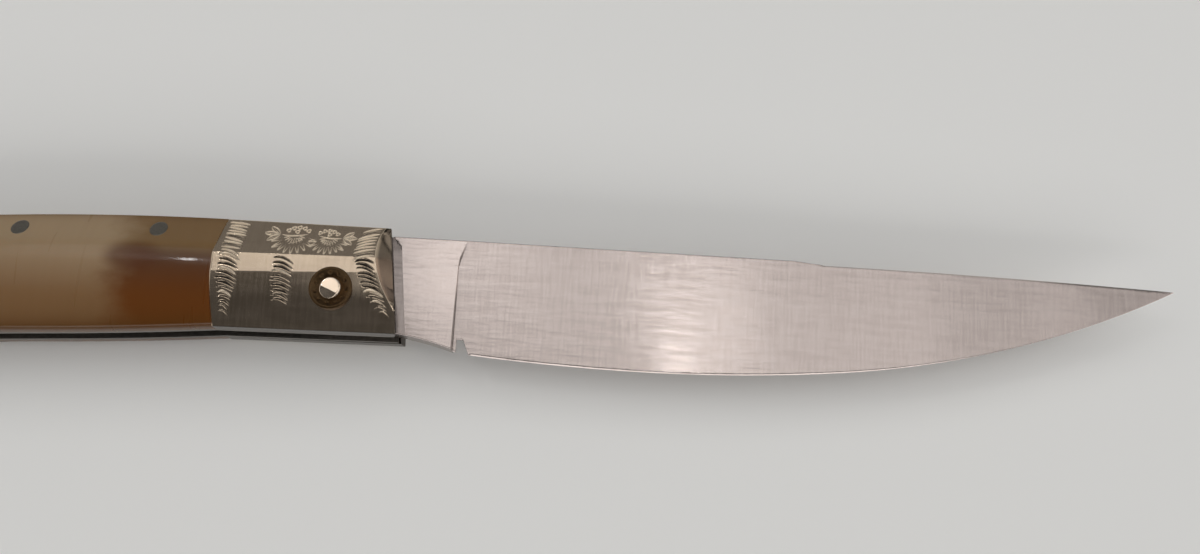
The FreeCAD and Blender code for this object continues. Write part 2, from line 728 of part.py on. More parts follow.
for entry in doc.Objects:
    if "Invalid" in entry.State or "Error" in entry.State:
        raise RuntimeError(f"{entry.Label} failed: {entry.State}")
for piece in pieces:
    if piece.Shape.isNull() or not piece.Shape.isValid() or len(piece.Shape.Solids) != 1:
        raise RuntimeError(piece.Label + " is not one valid solid")
os.makedirs("parts", exist_ok=True)
for piece in pieces:
    piece.Shape.exportStep(f"parts/{piece.Label}.step")
    print(piece.Label, round(piece.Shape.Volume, 2))
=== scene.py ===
import json
import math

import bmesh
import bpy
import numpy as np
from mathutils import Matrix, Vector


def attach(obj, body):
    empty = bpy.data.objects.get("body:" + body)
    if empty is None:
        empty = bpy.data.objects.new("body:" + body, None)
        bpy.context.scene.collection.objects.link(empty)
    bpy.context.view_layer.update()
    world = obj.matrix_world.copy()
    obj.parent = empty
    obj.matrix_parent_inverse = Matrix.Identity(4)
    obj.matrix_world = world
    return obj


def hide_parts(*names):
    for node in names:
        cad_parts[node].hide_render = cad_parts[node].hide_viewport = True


# Folding knife with an engraved steel bolster and blond horn scales, open on its left side.
# Shapes are in millimetres about the pivot: x to the tip, y to the spine, z to the right side.

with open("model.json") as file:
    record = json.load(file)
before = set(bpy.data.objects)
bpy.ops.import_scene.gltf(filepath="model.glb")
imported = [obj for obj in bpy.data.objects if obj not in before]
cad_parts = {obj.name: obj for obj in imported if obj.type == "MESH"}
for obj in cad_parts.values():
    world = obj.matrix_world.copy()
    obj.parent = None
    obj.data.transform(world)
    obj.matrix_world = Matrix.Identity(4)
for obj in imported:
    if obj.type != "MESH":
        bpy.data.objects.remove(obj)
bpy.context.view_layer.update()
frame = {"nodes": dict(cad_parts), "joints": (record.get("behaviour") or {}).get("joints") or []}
pivot = np.array(frame["joints"][0]["pos_m"]) * 1000
millimetre = 0.001
settling = 8  # rounds in which places that depend on each other settle
print("frame loaded, pivot at", pivot.round(3).tolist(), "mm")


# Small tools

def hexColour(text):  # sRGB hex to a linear colour
    srgb = np.array([int(text[i:i + 2], 16) for i in (1, 3, 5)]) / 255
    linear = np.where(srgb <= 0.04045, srgb / 12.92, ((srgb + 0.055) / 1.055) ** 2.4)
    return (*linear.tolist(), 1.0)


def addNode(tree, kind, props=None, values=None, links=None, out=None):
    # One node with its settings and links; gives the named output, or the first that the settings leave live.
    made = tree.nodes.new("ShaderNode" + kind)
    for name, value in (props or {}).items():
        setattr(made, name, value)
    for socket, value in (values or {}).items():
        made.inputs[socket].default_value = value
    for socket, source in (links or {}).items():
        tree.links.new(source, made.inputs[socket])
    live = [socket for socket in made.outputs if socket.enabled]
    return made.outputs[out] if out else next(iter(live), None)


def newMaterial(name):
    material = bpy.data.materials.new(name)
    material.use_nodes = True
    material.node_tree.nodes.clear()
    return material, material.node_tree


def perLength(*lengths):  # texture scale for steps of the given lengths, in millimetres
    return tuple(1 / (length * millimetre) for length in lengths)


def spread(*runs):  # evenly spaced places, run after run: first, last and count of each
    return np.concatenate([np.linspace(*run) for run in runs])


def smoothStep(low, high, value):  # 0 below low, 1 above high, eased between
    share = np.clip((value - low) / (high - low), 0, 1)
    return share * share * (3 - 2 * share)


def softMin(first, second, blend):  # the lower of two surfaces, with the crease between them rounded
    near = np.maximum(blend - np.abs(first - second), 0) / blend
    return np.minimum(first, second) - near * near * blend / 4


def arcHeight(x, start, end, radius, side):  # the arc through two points, bulging up (1) or down (-1)
    (x0, y0), (x1, y1) = start, end
    chord = math.hypot(x1 - x0, y1 - y0)
    reach = math.sqrt(radius ** 2 - chord ** 2 / 4)
    centreX = (x0 + x1) / 2 + side * reach * (y1 - y0) / chord
    centreY = (y0 + y1) / 2 - side * reach * (x1 - x0) / chord
    return centreY + side * np.sqrt(np.maximum(radius ** 2 - (x - centreX) ** 2, 0))


def gridFaces(rows, cols, wrapRows=False, wrapCols=False):  # quads of a grid numbered row by row
    rowRange, colRange = np.arange(rows - (not wrapRows)), np.arange(cols - (not wrapCols))
    row, col = np.meshgrid(rowRange, colRange, indexing="ij")
    nextRow = (row + 1) % rows
    nextCol = (col + 1) % cols
    corners = [row * cols + col, row * cols + nextCol, nextRow * cols + nextCol, nextRow * cols + col]
    return np.stack(corners, -1).reshape(-1, 4)


def closeSlab(skin, floorZ, wholeFloor):  # walls from a skin's rim down to a flat floor, and the floor
    rows, cols = skin.shape[:2]
    number = np.arange(rows * cols).reshape(rows, cols)
    ring = np.concatenate([number[0, :-1], number[:-1, -1], number[-1, :0:-1], number[:0:-1, 0]])
    after = np.roll(ring, -1)
    flat = skin.reshape(-1, 3)
    faces = gridFaces(rows, cols).tolist()
    if wholeFloor:  # the floor repeats the skin's grid
        floor = flat.copy()
        floor[:, 2] = floorZ
        faces += (gridFaces(rows, cols)[:, ::-1] + len(flat)).tolist()
        faces += np.stack([ring, after, after + len(flat), ring + len(flat)], -1).tolist()
        return np.concatenate([flat, floor]), faces
    floor = flat[ring].copy()  # the floor is a fan from its middle
    floor[:, 2] = floorZ
    low = np.arange(len(ring)) + len(flat)
    lowAfter = np.roll(low, -1)
    middle = np.full(len(ring), len(flat) + len(ring))
    faces += np.stack([ring, after, lowAfter, low], -1).tolist()
    faces += np.stack([low, lowAfter, middle], -1).tolist()
    return np.concatenate([flat, floor, floor.mean(0)[None]]), faces


meshing = {"merge": 2e-7, "sliver": 1e-7, "uvSize": 0.25}  # in metres


def makePiece(name, points, faces, body, material, slotName, nodes, marks=None, sharpAngle=35):
    # A piece from its points and faces: doubles merged, faces turned outwards, marks kept as attributes.
    mesh = bpy.data.meshes.new(name)
    places = (np.asarray(points) + pivot) * millimetre
    mesh.from_pydata(places.tolist(), [], np.asarray(faces, object).tolist())
    for label, values in (marks or {}).items():
        layer = mesh.attributes.new(label, "FLOAT", "POINT")
        layer.data.foreach_set("value", np.asarray(values, np.float32).ravel())
    work = bmesh.new()
    work.from_mesh(mesh)
    bmesh.ops.remove_doubles(work, verts=work.verts, dist=meshing["merge"])
    bmesh.ops.dissolve_degenerate(work, edges=work.edges, dist=meshing["sliver"])
    bmesh.ops.recalc_face_normals(work, faces=work.faces)
    work.to_mesh(mesh)
    work.free()
    corner = np.zeros(len(mesh.loops), np.int32)
    mesh.loops.foreach_get("vertex_index", corner)
    place = np.zeros(len(mesh.vertices) * 3, np.float32)
    mesh.vertices.foreach_get("co", place)
    flatMap = place.reshape(-1, 3)[corner][:, :2] / meshing["uvSize"] + 0.5  # along the knife, and up it
    mesh.uv_layers.new(name="along").data.foreach_set("uv", flatMap.ravel())
    mesh.shade_smooth()
    mesh.set_sharp_from_angle(angle=math.radians(sharpAngle))
    mesh.materials.append(material)
    piece = bpy.data.objects.new(name, mesh)
    bpy.context.scene.collection.objects.link(piece)
    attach(piece, body)
    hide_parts(*nodes)
    print(name, len(mesh.vertices), "points,", len(mesh.polygons), "faces")


# Materials, with sizes and depths in millimetres

colourMix = {"data_type": "RGBA"}
softRamp = {"interpolation_type": "SMOOTHSTEP"}

satin = {
    "lineSize": (0.3, 4.0, 18.0),      # belt lines are finer; this coarse they still show
    "crossSize": (6.0, 0.9, 22.0), "crossShare": 0.9,  # lengthwise ripples, and their share
    "spread": 0.22,                    # how far the two together swing
    "detail": 2.0, "rippleDepth": 0.04,  # the ripples break up a glint
    "paintedShade": "#2c2621",                # colour of the painted shade in corners, hollows, walls and cuts
    "cut": "#f0dec4", "cutRough": 0.45, "cutMetal": 0.25,  # torn metal scatters light; this colour also paints highlights on cuts, along the hollow's rim and low in the hollow
}
# Colours, roughness, how far lights smear, the turn of the smear (0.25 lies across the length), and bump.
bladeFinish = {"light": "#cbbeb8", "dark": "#bcafa9", "rough": (0.17, 0.215), "smear": 0.8, "lay": 0.25,
               "bump": 1.0}
bolsterFinish = {"light": "#bfad98", "dark": "#b4a28d", "rough": (0.17, 0.21), "smear": 0.35, "lay": 0.0,
                 "bump": 0.05}


def satinSteel(name, finish, engraved):
    # Belt-finished stainless steel, warm under lamps: fine lines, across which lights smear, and faint
    # ripples. A noise drawn out across the knife and one drawn out along it add up to its tone and gloss.
    material, tree = newMaterial(name)
    place = addNode(tree, "TexCoord", out="Object")
    noises = []
    for size in ("lineSize", "crossSize"):
        steps = addNode(tree, "Mapping", {}, {"Scale": perLength(*satin[size])}, {"Vector": place})
        detail = {"Scale": 1.0, "Detail": satin["detail"]}
        noises.append(addNode(tree, "TexNoise", {}, detail, {"Vector": steps}))
    lines, cross = noises
    part = {1: satin["crossShare"]}
    both = addNode(tree, "Math", {"operation": "MULTIPLY_ADD"}, part, {0: cross, 2: lines})
    middle = (1 + satin["crossShare"]) / 2
    swing = {"From Min": middle - satin["spread"], "From Max": middle + satin["spread"]}
    tone = addNode(tree, "MapRange", {}, swing, {"Value": both})
    shine = {**swing, "To Min": finish["rough"][0], "To Max": finish["rough"][1]}
    gloss = addNode(tree, "MapRange", {}, shine, {"Value": both})
    tints = {"A": hexColour(finish["dark"]), "B": hexColour(finish["light"])}
    colour = addNode(tree, "Mix", colourMix, tints, {"Factor": tone})
    # painted shade: where the paintedShade mark is set, the steel is darkened towards the painted shade
    # colour
    paintedShade = addNode(tree, "Attribute", {"attribute_name": "paintedShade"}, out="Fac")
    colour = addNode(tree, "Mix", colourMix, {"B": hexColour(satin["paintedShade"])}, {"Factor": paintedShade, "A": colour})
    ripple = {"Strength": finish["bump"], "Distance": satin["rippleDepth"] * millimetre}
    bump = addNode(tree, "Bump", {}, ripple, {"Height": cross})
    tangent = addNode(tree, "Tangent", {"direction_type": "UV_MAP", "uv_map": "along"})
    links = {"Base Color": colour, "Roughness": gloss, "Normal": bump, "Tangent": tangent}
    if engraved:  # bright torn metal in the cuts, plus painted highlights: brighter cuts on the upper facet, glints on a few cuts, a line along the hollow's rim and a sheen low in the hollow
        cut = addNode(tree, "Attribute", {"attribute_name": "cut"}, out="Fac")
        torn = {"B": hexColour(satin["cut"])}
        links["Base Color"] = addNode(tree, "Mix", colourMix, torn, {"Factor": cut, "A": colour})
        links["Roughness"] = addNode(tree, "Mix", {}, {"B": satin["cutRough"]}, {"Factor": cut, "A": gloss})
        scatter = {"To Min": 1.0, "To Max": satin["cutMetal"]}
        links["Metallic"] = addNode(tree, "MapRange", {}, scatter, {"Value": cut})
    shader = {"Metallic": 1.0, "Anisotropic": finish["smear"], "Anisotropic Rotation": finish["lay"]}
    steel = addNode(tree, "BsdfPrincipled", {}, shader, links)
    addNode(tree, "OutputMaterial", {}, {}, {"Surface": steel})
    return material


plainMetals = {  # light and dark colour, roughness, size of the grain and depth of its dents
    "filed_pin_steel": ("#8d887f", "#6d685f", (0.3, 0.45), 0.25, 0.01),     # grey and finely scratched
    "rolled_liner_steel": ("#8f8a83", "#77726b", (0.3, 0.45), 0.4, 0.01),   # even mill sheen
    "ground_spacer_steel": ("#6f6a64", "#57534e", (0.26, 0.4), 0.3, 0.01),  # darker, as it is never polished
    "peened_pivot_steel": ("#e6d2bd", "#d8c4ae", (0.14, 0.22), 0.8, 0.02),  # bright, with shallow dents
    "aged_brass": ("#5c4830", "#35291e", (0.28, 0.45), 0.35, 0.05),         # brown, uneven patina
    "bearing_bronze": ("#b08a52", "#93703f", (0.3, 0.4), 0.4, 0.01),        # warm and worn smooth
}
metalGrain = {"detail": 4.0, "swing": {"From Min": 0.3, "From Max": 0.7}, "bump": 0.4}


def plainMetal(name, light, dark, rough, grain, dent):
    # Filed, turned or rolled metal: a fine grain in its colour, gloss and skin.
    material, tree = newMaterial(name)
    place = addNode(tree, "TexCoord", out="Object")
    steps = addNode(tree, "Mapping", {}, {"Scale": perLength(grain, grain, grain)}, {"Vector": place})
    fine = addNode(tree, "TexNoise", {}, {"Scale": 1.0, "Detail": metalGrain["detail"]}, {"Vector": steps})
    tints = {"A": hexColour(dark), "B": hexColour(light)}
    colour = addNode(tree, "Mix", colourMix, tints, {"Factor": fine})
    gloss = addNode(tree, "MapRange", {}, {**metalGrain["swing"], "To Min": rough[0], "To Max": rough[1]},
                    {"Value": fine})
    dents = {"Strength": metalGrain["bump"], "Distance": dent * millimetre}
    bump = addNode(tree, "Bump", {}, dents, {"Height": fine})
    metal = addNode(tree, "BsdfPrincipled", {}, {"Metallic": 1.0},
                    {"Base Color": colour, "Roughness": gloss, "Normal": bump})
    addNode(tree, "OutputMaterial", {}, {}, {"Surface": metal})
    return material


horn = {
    "cream": "#a78f70", "tan": "#836342",      # clear pale horn; tan is painted shade towards the belly
    "khaki": "#826643", "brown": "#4d2f16", "amber": "#6a3a10",  # towards the root: upper facet painted lighter, side and belly
    "smoke": "#562c0c", "rim": "#55340d",      # smoky patch, and a painted amber glow along thin edges
    "towardsBelly": {"From Min": 6.5, "From Max": -4.0},  # heights over which the pale horn takes its painted shade and the root turns amber
    "facet": {"From Min": 2.6, "From Max": 5.4},     # heights where the upper facet is painted lighter in khaki
    "turn": (-33.0, -26.0), "wander": 9.0,     # where the pale horn turns brown, and how far that strays
    "cloudSize": (9.0, 5.0, 7.0), "cloud": {"Scale": 1.0, "Detail": 4.0, "Roughness": 0.6},
    "smokePlace": (-27.6, 2.9), "smokeSize": (4.6, 2.7),
    "smokeEdge": {"From Min": 1.6, "From Max": 0.8, "To Max": 0.74},
    "fibreSize": (0.9, 14.0, 6.0), "fibreSlant": (0, 0, -0.1), "fibre": {"Scale": 1.0, "Detail": 0.0},
    "fibreVeil": {"To Min": 0.06, "To Max": 0.0},    # how much the fibres darken it
    "gloss": {"To Min": 0.26, "To Max": 0.32}, "bump": {"Strength": 0.02, "Distance": 0.002 * millimetre},
    "shader": {"IOR": 1.54, "Specular IOR Level": 0.2, "Coat Weight": 0.25, "Coat Roughness": 0.06,
               "Subsurface Weight": 0.25, "Subsurface Radius": (1.2, 0.6, 0.3),
               "Subsurface Scale": millimetre},
}


def blondHorn():
    # Polished blond horn: translucent keratin with faint fibres, pale and clear, then brown and smoky at
    # the bolster, under the gloss that buffing leaves.
    material, tree = newMaterial("polished_blond_horn")
    place = addNode(tree, "TexCoord", out="Object")
    centred = {"Location": tuple(-pivot), "Scale": perLength(1, 1, 1)}
    local = addNode(tree, "Mapping", {}, centred, {"Vector": place})
    x = addNode(tree, "SeparateXYZ", {}, {}, {"Vector": local}, out="X")
    y = x.node.outputs["Y"]
    billow = addNode(tree, "Mapping", {}, {"Scale": perLength(*horn["cloudSize"])}, {"Vector": place})
    cloud = addNode(tree, "TexNoise", {}, horn["cloud"], {"Vector": billow})
    slant = {"Rotation": horn["fibreSlant"], "Scale": perLength(*horn["fibreSize"])}
    strands = addNode(tree, "Mapping", {}, slant, {"Vector": place})
    fibre = addNode(tree, "TexNoise", {}, horn["fibre"], {"Vector": strands})
    # painted shade: the pale horn darkens towards the belly; the root turns amber there
    depth = addNode(tree, "MapRange", softRamp, horn["towardsBelly"], {"Value": y})
    paleTints = {"A": hexColour(horn["cream"]), "B": hexColour(horn["tan"])}
    pale = addNode(tree, "Mix", colourMix, paleTints, {"Factor": depth})
    rootTints = {"A": hexColour(horn["brown"]), "B": hexColour(horn["amber"])}
    root = addNode(tree, "Mix", colourMix, rootTints, {"Factor": depth})
    # painted light: the upper facet painted lighter than the side
    upper = addNode(tree, "MapRange", softRamp, horn["facet"], {"Value": y})
    root = addNode(tree, "Mix", colourMix, {"B": hexColour(horn["khaki"])}, {"Factor": upper, "A": root})
    drift = addNode(tree, "Math", {"operation": "MULTIPLY_ADD"}, {1: horn["wander"]}, {0: cloud, 2: x})
    start, end = (edge + horn["wander"] / 2 for edge in horn["turn"])
    turn = addNode(tree, "MapRange", softRamp, {"From Min": start, "From Max": end}, {"Value": drift})
    colour = addNode(tree, "Mix", colourMix, {}, {"Factor": turn, "A": pale, "B": root})
    (smokeX, smokeY), (wide, tall) = horn["smokePlace"], horn["smokeSize"]
    patch = {"Location": (-smokeX / wide, -smokeY / tall, 0), "Scale": (1 / wide, 1 / tall, 0)}
    spot = addNode(tree, "Mapping", {}, patch, {"Vector": local})
    ball = addNode(tree, "VectorMath", {"operation": "LENGTH"}, {}, {0: spot})
    ragged = addNode(tree, "Math", {"operation": "ADD"}, {}, {0: cloud, 1: ball})
    smoke = addNode(tree, "MapRange", softRamp, horn["smokeEdge"], {"Value": ragged})
    # painted glow: thin edges painted amber
    paintedEdgeGlow = addNode(tree, "Attribute", {"attribute_name": "paintedEdgeGlow"}, out="Fac")
    veil = addNode(tree, "MapRange", {}, horn["fibreVeil"], {"Value": fibre})
    for tint, share in (("smoke", smoke), ("rim", paintedEdgeGlow), ("smoke", veil)):
        colour = addNode(tree, "Mix", colourMix, {"B": hexColour(horn[tint])}, {"Factor": share, "A": colour})
    gloss = addNode(tree, "MapRange", {}, horn["gloss"], {"Value": fibre})
    bump = addNode(tree, "Bump", {}, horn["bump"], {"Height": fibre})
    surface = addNode(tree, "BsdfPrincipled", {}, horn["shader"],
                      {"Base Color": colour, "Roughness": gloss, "Normal": bump})
    addNode(tree, "OutputMaterial", {}, {}, {"Surface": surface})
    return material


bladeSatin = satinSteel("satin_blade_steel", bladeFinish, engraved=False)
bolsterSatin = satinSteel("satin_bolster_steel", bolsterFinish, engraved=True)
hornSkin = blondHorn()
metals = {name: plainMetal(name, *look) for name, look in plainMetals.items()}
for node, metalName in {"right_liner": "rolled_liner_steel", "left_liner": "rolled_liner_steel",
                        "back_spacer": "ground_spacer_steel", "right_inner_washer": "bearing_bronze",
                        "left_inner_washer": "bearing_bronze"}.items():
    slots = frame["nodes"][node].data.materials
    slots.clear()
    slots.append(metals[metalName])
print("materials made")


# Blade: columns run from a path round the tang and along the edge up to the spine, and each
# point's thickness comes from its place, with the ricasso flat, the flat grind and the bevels.

blade = {
    "half": 1.6, "tipHalf": 0.2, "edgeHalf": 0.15, "tangHalf": 1.35, "thinnest": 0.012,  # half thicknesses
    "spine": 8.95, "clip": (63.0, 67.0), "clipHeight": 8.65, "clipRadius": 1383.8, "tip": (116.9, 7.75),
    "heel": (18.7, -7.05), "heelRadius": 311.3, "belly": (43.0, -8.0), "bellyRadius": 243.0,
    "turn": (70.0, -6.495), "sweepRadius": 134.3,
    "kick": (16.9, -6.75), "roof": -4.95, "roofEnd": 17.5, "notchWall": 18.0, "notchRound": 0.5,
    "throatRadius": 45.0, "tangRadius": 5.2, "tangTurn": (120, 300), "shoulder": -2.6,
    "relief": (9.27, 0.138, 0.26),  # strip let into the ricasso: border, its lean, depth
    "reliefCorner": (7.2, 0.6),     # height where its border turns away to the spine, and how fast
    # the sunk strip is painted darker by reliefPaintedShade, a painted shade
    "reliefTilt": 0.1, "reliefWall": 0.005, "reliefPaintedShade": 0.42,
    "tangEase": (2.4, 3.4),         # how far inside its border the strip runs out into the tang
    "ricassoPaintedShade": (0.2, 4.0, -6.0),      # painted shade, the ricasso darker towards the bottom: darkest, and the heights over which it deepens
    "plunge": (16.4, 0.02),         # step from the ricasso to the grind: place and width
    "plungeTurn": (5.0, 9.5, 1.0),  # heights over which it sweeps forward, and how far
    "plungeEnd": (7.6, 8.6),        # heights over which it dies away
    "plungePaintedShade": (0.8, 0.12, 0.0, 3.0),  # painted shade line at the plunge's foot: darkest, reach, and the heights over which it fades
    "bevelHeight": 0.3, "bevelEdge": 0.03, "bevelRise": 0.195,
    "bevelStart": (18.65, 19.0), "bevelFade": (62.0, 100.0, 0.75),  # where it runs in, and out by a share
    "swedgeWidth": 0.3, "swedgeStart": (64.0, 68.0), "swedgeTop": 0.45,
    "runIn": 3.0,                   # height from which bevel and swedge sink in
    "corner": 0.07, "cornerSlope": 0.7,    # eased corners of spine and tang
    "crest": (5.2, 6.2, 7.0),       # spine places over the ends of shoulder, tang and near throat
    "kickLean": 0.03, "throatGap": 0.05, "closeFrom": 16.28, "closeGap": 0.02,  # gaps between columns
    "columns": {"shoulder": 7, "tang": 50, "near": 16, "strip": 36, "flat": 44, "plunge": 42,
                "kick": 8, "roof": 22, "round": 10, "wall": 10},
    "edgeColumns": ((18.72, 19.6, 10), (19.9, 109.9, 251), (110.1, 116.9, 50)),
    "edgeRows": (0, 0.04, 0.08, 0.12, 0.18, 0.24, 0.3, 0.36, 0.42, 0.5, 0.7), "middleRows": 34,
    "spineRows": (0.6, 0.42, 0.34, 0.3, 0.27, 0.18, 0.12, 0.06, 0), "fullRows": 3.0,
}


def edgeLine(x):  # the edge's three arcs, carried back past the heel
    b = blade
    heel = arcHeight(x, b["heel"], b["belly"], b["heelRadius"], -1)
    belly = arcHeight(x, b["belly"], b["turn"], b["bellyRadius"], -1)
    sweep = arcHeight(x, b["turn"], b["tip"], b["sweepRadius"], -1)
    return np.where(x < b["belly"][0], heel, np.where(x < b["turn"][0], belly, sweep))


def bladeOutline():
    # Lower path from the shoulder round the tang, along the throat, through the notch and along the edge
    # to the tip, and the point on the spine over each step of it.
    b = blade
    count = b["columns"]
    (kickX, kickY), (heelX, heelY) = b["kick"], b["heel"]
    shoulderTop, tangTop, throatTop = b["crest"]
    angle = np.radians(np.linspace(*b["tangTurn"], count["tang"]))
    tangX, tangY = b["tangRadius"] * np.cos(angle), b["tangRadius"] * np.sin(angle)
    lower, upper = [], []

    def run(xs, ys, tops):
        lower.append(np.stack([xs + 0 * tops, ys + 0 * tops], -1))
        upper.append(tops)

    def throat(xs):
        return arcHeight(xs, (tangX[-1], tangY[-1]), b["kick"], b["throatRadius"], 1)

    run(b["shoulder"], np.linspace(b["spine"], tangY[0], count["shoulder"]),
        np.linspace(b["shoulder"], shoulderTop, count["shoulder"]))
    run(tangX, tangY, np.linspace(shoulderTop, tangTop, count["tang"]))
    near = np.linspace(tangX[-1], throatTop, count["near"])
    run(near, throat(near), np.linspace(tangTop + b["throatGap"], throatTop, count["near"]))
    border, lean = b["relief"][:2]
    foot = border
    for _ in range(settling):  # the strip's border settles on the throat, and the columns there lean with it
        foot = border - lean * throat(foot)
    first, close = throatTop + b["throatGap"], b["closeFrom"]
    far = spread((first, foot - b["closeGap"], count["strip"]), (foot, close, count["flat"]),
                 (close + b["closeGap"], kickX, count["plunge"]))
    run(far, throat(far), np.interp(far, [first, foot, close, kickX],
                                    [first, border - lean * b["spine"], close, kickX]))
    run(kickX, np.linspace(kickY, b["roof"], count["kick"]),
        np.linspace(kickX, kickX + b["kickLean"], count["kick"]))
    run(np.linspace(kickX, b["roofEnd"], count["roof"]), b["roof"],
        np.linspace(kickX + b["kickLean"], b["roofEnd"], count["roof"]))
    angle = np.radians(np.linspace(90, 0, count["round"]))
    wallTop = b["roof"] - b["notchRound"]
    run(b["roofEnd"] + b["notchRound"] * np.cos(angle), wallTop + b["notchRound"] * np.sin(angle),
        np.linspace(b["roofEnd"], b["notchWall"], count["round"]))
    wall = np.linspace(b["notchWall"], heelX, count["wall"])
    run(wall, np.linspace(wallTop, heelY, count["wall"]), wall)
    edge = spread(*b["edgeColumns"])
    edgeY = edgeLine(edge)
    edgeY[-1] = b["tip"][1]
    run(edge, edgeY, edge)
    tops = np.concatenate(upper)
    clipStart, clipEnd = b["clip"]
    ramp = b["spine"] + (b["clipHeight"] - b["spine"]) * smoothStep(clipStart, clipEnd, tops)
    arc = arcHeight(tops, (clipEnd, b["clipHeight"]), b["tip"], b["clipRadius"], 1)
    return np.concatenate(lower), np.stack([tops, np.where(tops < clipEnd, ramp, arc)], -1)


def bladeHalf(x, y, spineY, edgeGap, spineGap):
    # Half thickness and painted shade at each point: a dark line painted at the plunge's foot, the sunk strip
    # painted darker, and the ricasso painted darker towards the bottom. The grind falls in a straight line
    # from spine to edge, the ricasso is flat up to the plunge with a strip sunk in it, and the bevels and
    # corners cut into both.
    b = blade
    edgeY = edgeLine(x)
    kickX, tipX = b["kick"][0], b["tip"][0]
    back = b["half"] - (b["half"] - b["tipHalf"]) * np.clip((x - kickX) / (tipX - kickX), 0, 1)
    share = np.clip((y - edgeY) / np.maximum(spineY - edgeY, 1e-6), 0, 1)
    ground = b["edgeHalf"] + (back - b["edgeHalf"]) * share
    border, lean, depth = b["relief"]
    inside = border - x - lean * y - b["reliefCorner"][1] * np.maximum(y - b["reliefCorner"][0], 0)
    strip = np.clip(inside / b["reliefWall"], 0, 1)
    sunk = b["half"] - (depth - b["reliefTilt"] * np.minimum(inside, b["tangEase"][0])) * strip
    flat = sunk + (b["tangHalf"] - sunk) * smoothStep(*b["tangEase"], inside)
    place, width = b["plunge"]
    past = x - place - b["plungeTurn"][2] * smoothStep(*b["plungeTurn"][:2], y)
    step = np.maximum(flat - ground, 0) * (1 - smoothStep(*b["plungeEnd"], y))
    half = np.where(past < 0, flat, ground + step * (1 - np.clip(past / width, 0, 1)))
    # painted shade: a dark line at the foot of the plunge, fading upwards, and the sunk strip painted darker
    darkest, reach, low, high = b["plungePaintedShade"]
    paintedShade = darkest * (1 - smoothStep(low, high, y)) * np.clip(1 - np.abs(past - width / 2) / reach, 0, 1)
    paintedShade = np.maximum(paintedShade, b["reliefPaintedShade"] * strip)
    # painted shade: the ricasso painted darker towards the bottom
    darkest, high, low = b["ricassoPaintedShade"]
    paintedShade = np.maximum(paintedShade, darkest * smoothStep(high, low, y) * (past < 0))
    begun = smoothStep(*b["bevelStart"], x)
    faded = 1 - b["bevelFade"][2] * smoothStep(*b["bevelFade"][:2], x)
    bevel = b["edgeHalf"] + (b["bevelEdge"] - b["edgeHalf"]) * faded
    bevel = bevel + edgeGap * (b["bevelRise"] / b["bevelHeight"])
    half = np.where(begun > 0, np.minimum(half, bevel + (1 - begun) * b["runIn"]), half)
    sharpened = smoothStep(*b["swedgeStart"], x)
    swedge = half * b["swedgeTop"] + spineGap * (1 - b["swedgeTop"]) * half / b["swedgeWidth"]
    half = np.where(sharpened > 0, np.minimum(half, swedge + (1 - sharpened) * b["runIn"]), half)
    easedSpine = np.clip(b["corner"] - spineGap, 0, b["corner"]) * (1 - sharpened)
    easedEdge = np.clip(b["corner"] - edgeGap, 0, b["corner"]) * (1 - begun)
    return np.maximum(half - b["cornerSlope"] * (easedSpine + easedEdge), b["thinnest"]), paintedShade


def makeBlade():  # rows are close at edge and spine, and each column is a closed loop over both sides
    path, crest = bladeOutline()
    length = np.linalg.norm(crest - path, axis=1)[:, None]
    room = np.minimum(1, length / blade["fullRows"])
    nearEdge = np.array(blade["edgeRows"]) * room
    nearSpine = length - np.array(blade["spineRows"]) * room
    middle = np.linspace(0, 1, blade["middleRows"])[1:-1]
    start, end = nearEdge[:, -1:], nearSpine[:, :1]
    along = np.concatenate([nearEdge, start + np.maximum(end - start, 0) * middle, nearSpine], axis=1)
    along = np.maximum.accumulate(np.clip(along, 0, length), axis=1)
    share = along / np.maximum(length, 1e-9)
    flat = path[:, None] + (crest - path)[:, None] * share[..., None]
    half, paintedShade = bladeHalf(flat[..., 0], flat[..., 1], crest[:, 1:2], along, length - along)
    right = np.concatenate([flat, half[..., None]], -1)
    left = np.concatenate([flat, -half[..., None]], -1)[:, ::-1]
    loops = np.concatenate([right, left], axis=1)
    paintedShade = np.concatenate([paintedShade, paintedShade[:, ::-1]], axis=1)
    makePiece("blade_leaf", loops.reshape(-1, 3), gridFaces(*loops.shape[:2], wrapCols=True), "blade",
              bladeSatin, "blade_steel", ["blade"], {"paintedShade": paintedShade})


makeBlade()


# Handle outline shared by bolsters, scales and pins

handle = {
    "top": 9.7885, "foot": -5.95, "frontFoot": -5.5, "floor": 2.5, "face": 5.9, "lip": 2.7,
    "backRadius": 420.0, "rear": -15.8, "jointBow": 0.65, "jointLean": 0.45,
    "swellEnd": (-41.8, -7.951), "swellRadius": 622.6,
    "buttFoot": (-122.7, -23.383), "buttTop": (-128.2, -5.53), "keelRadius": 311.4, "buttBow": 1.4,
}


def backHeight(x):  # arched back of the handle: level over the bolster, then a circle's arc
    reach = np.minimum(x - handle["rear"], 0)
    return handle["top"] - handle["backRadius"] + np.sqrt(handle["backRadius"] ** 2 - reach ** 2)


def jointPlace(y):  # joint of bolster and scale: a parabola over the height, leaning back to the top
    middle = (handle["top"] + handle["foot"]) / 2
    rise = (handle["top"] - handle["foot"]) / 2
    share = (y - middle) / rise
    return handle["rear"] - handle["jointBow"] * (1 - share ** 2) - handle["jointLean"] * (1 + share) / 2


# Bolster: rows follow the facets and columns run from the joint to the hollowed front, with the
# height of each point from its facet and the engraver's cuts taken out of it.

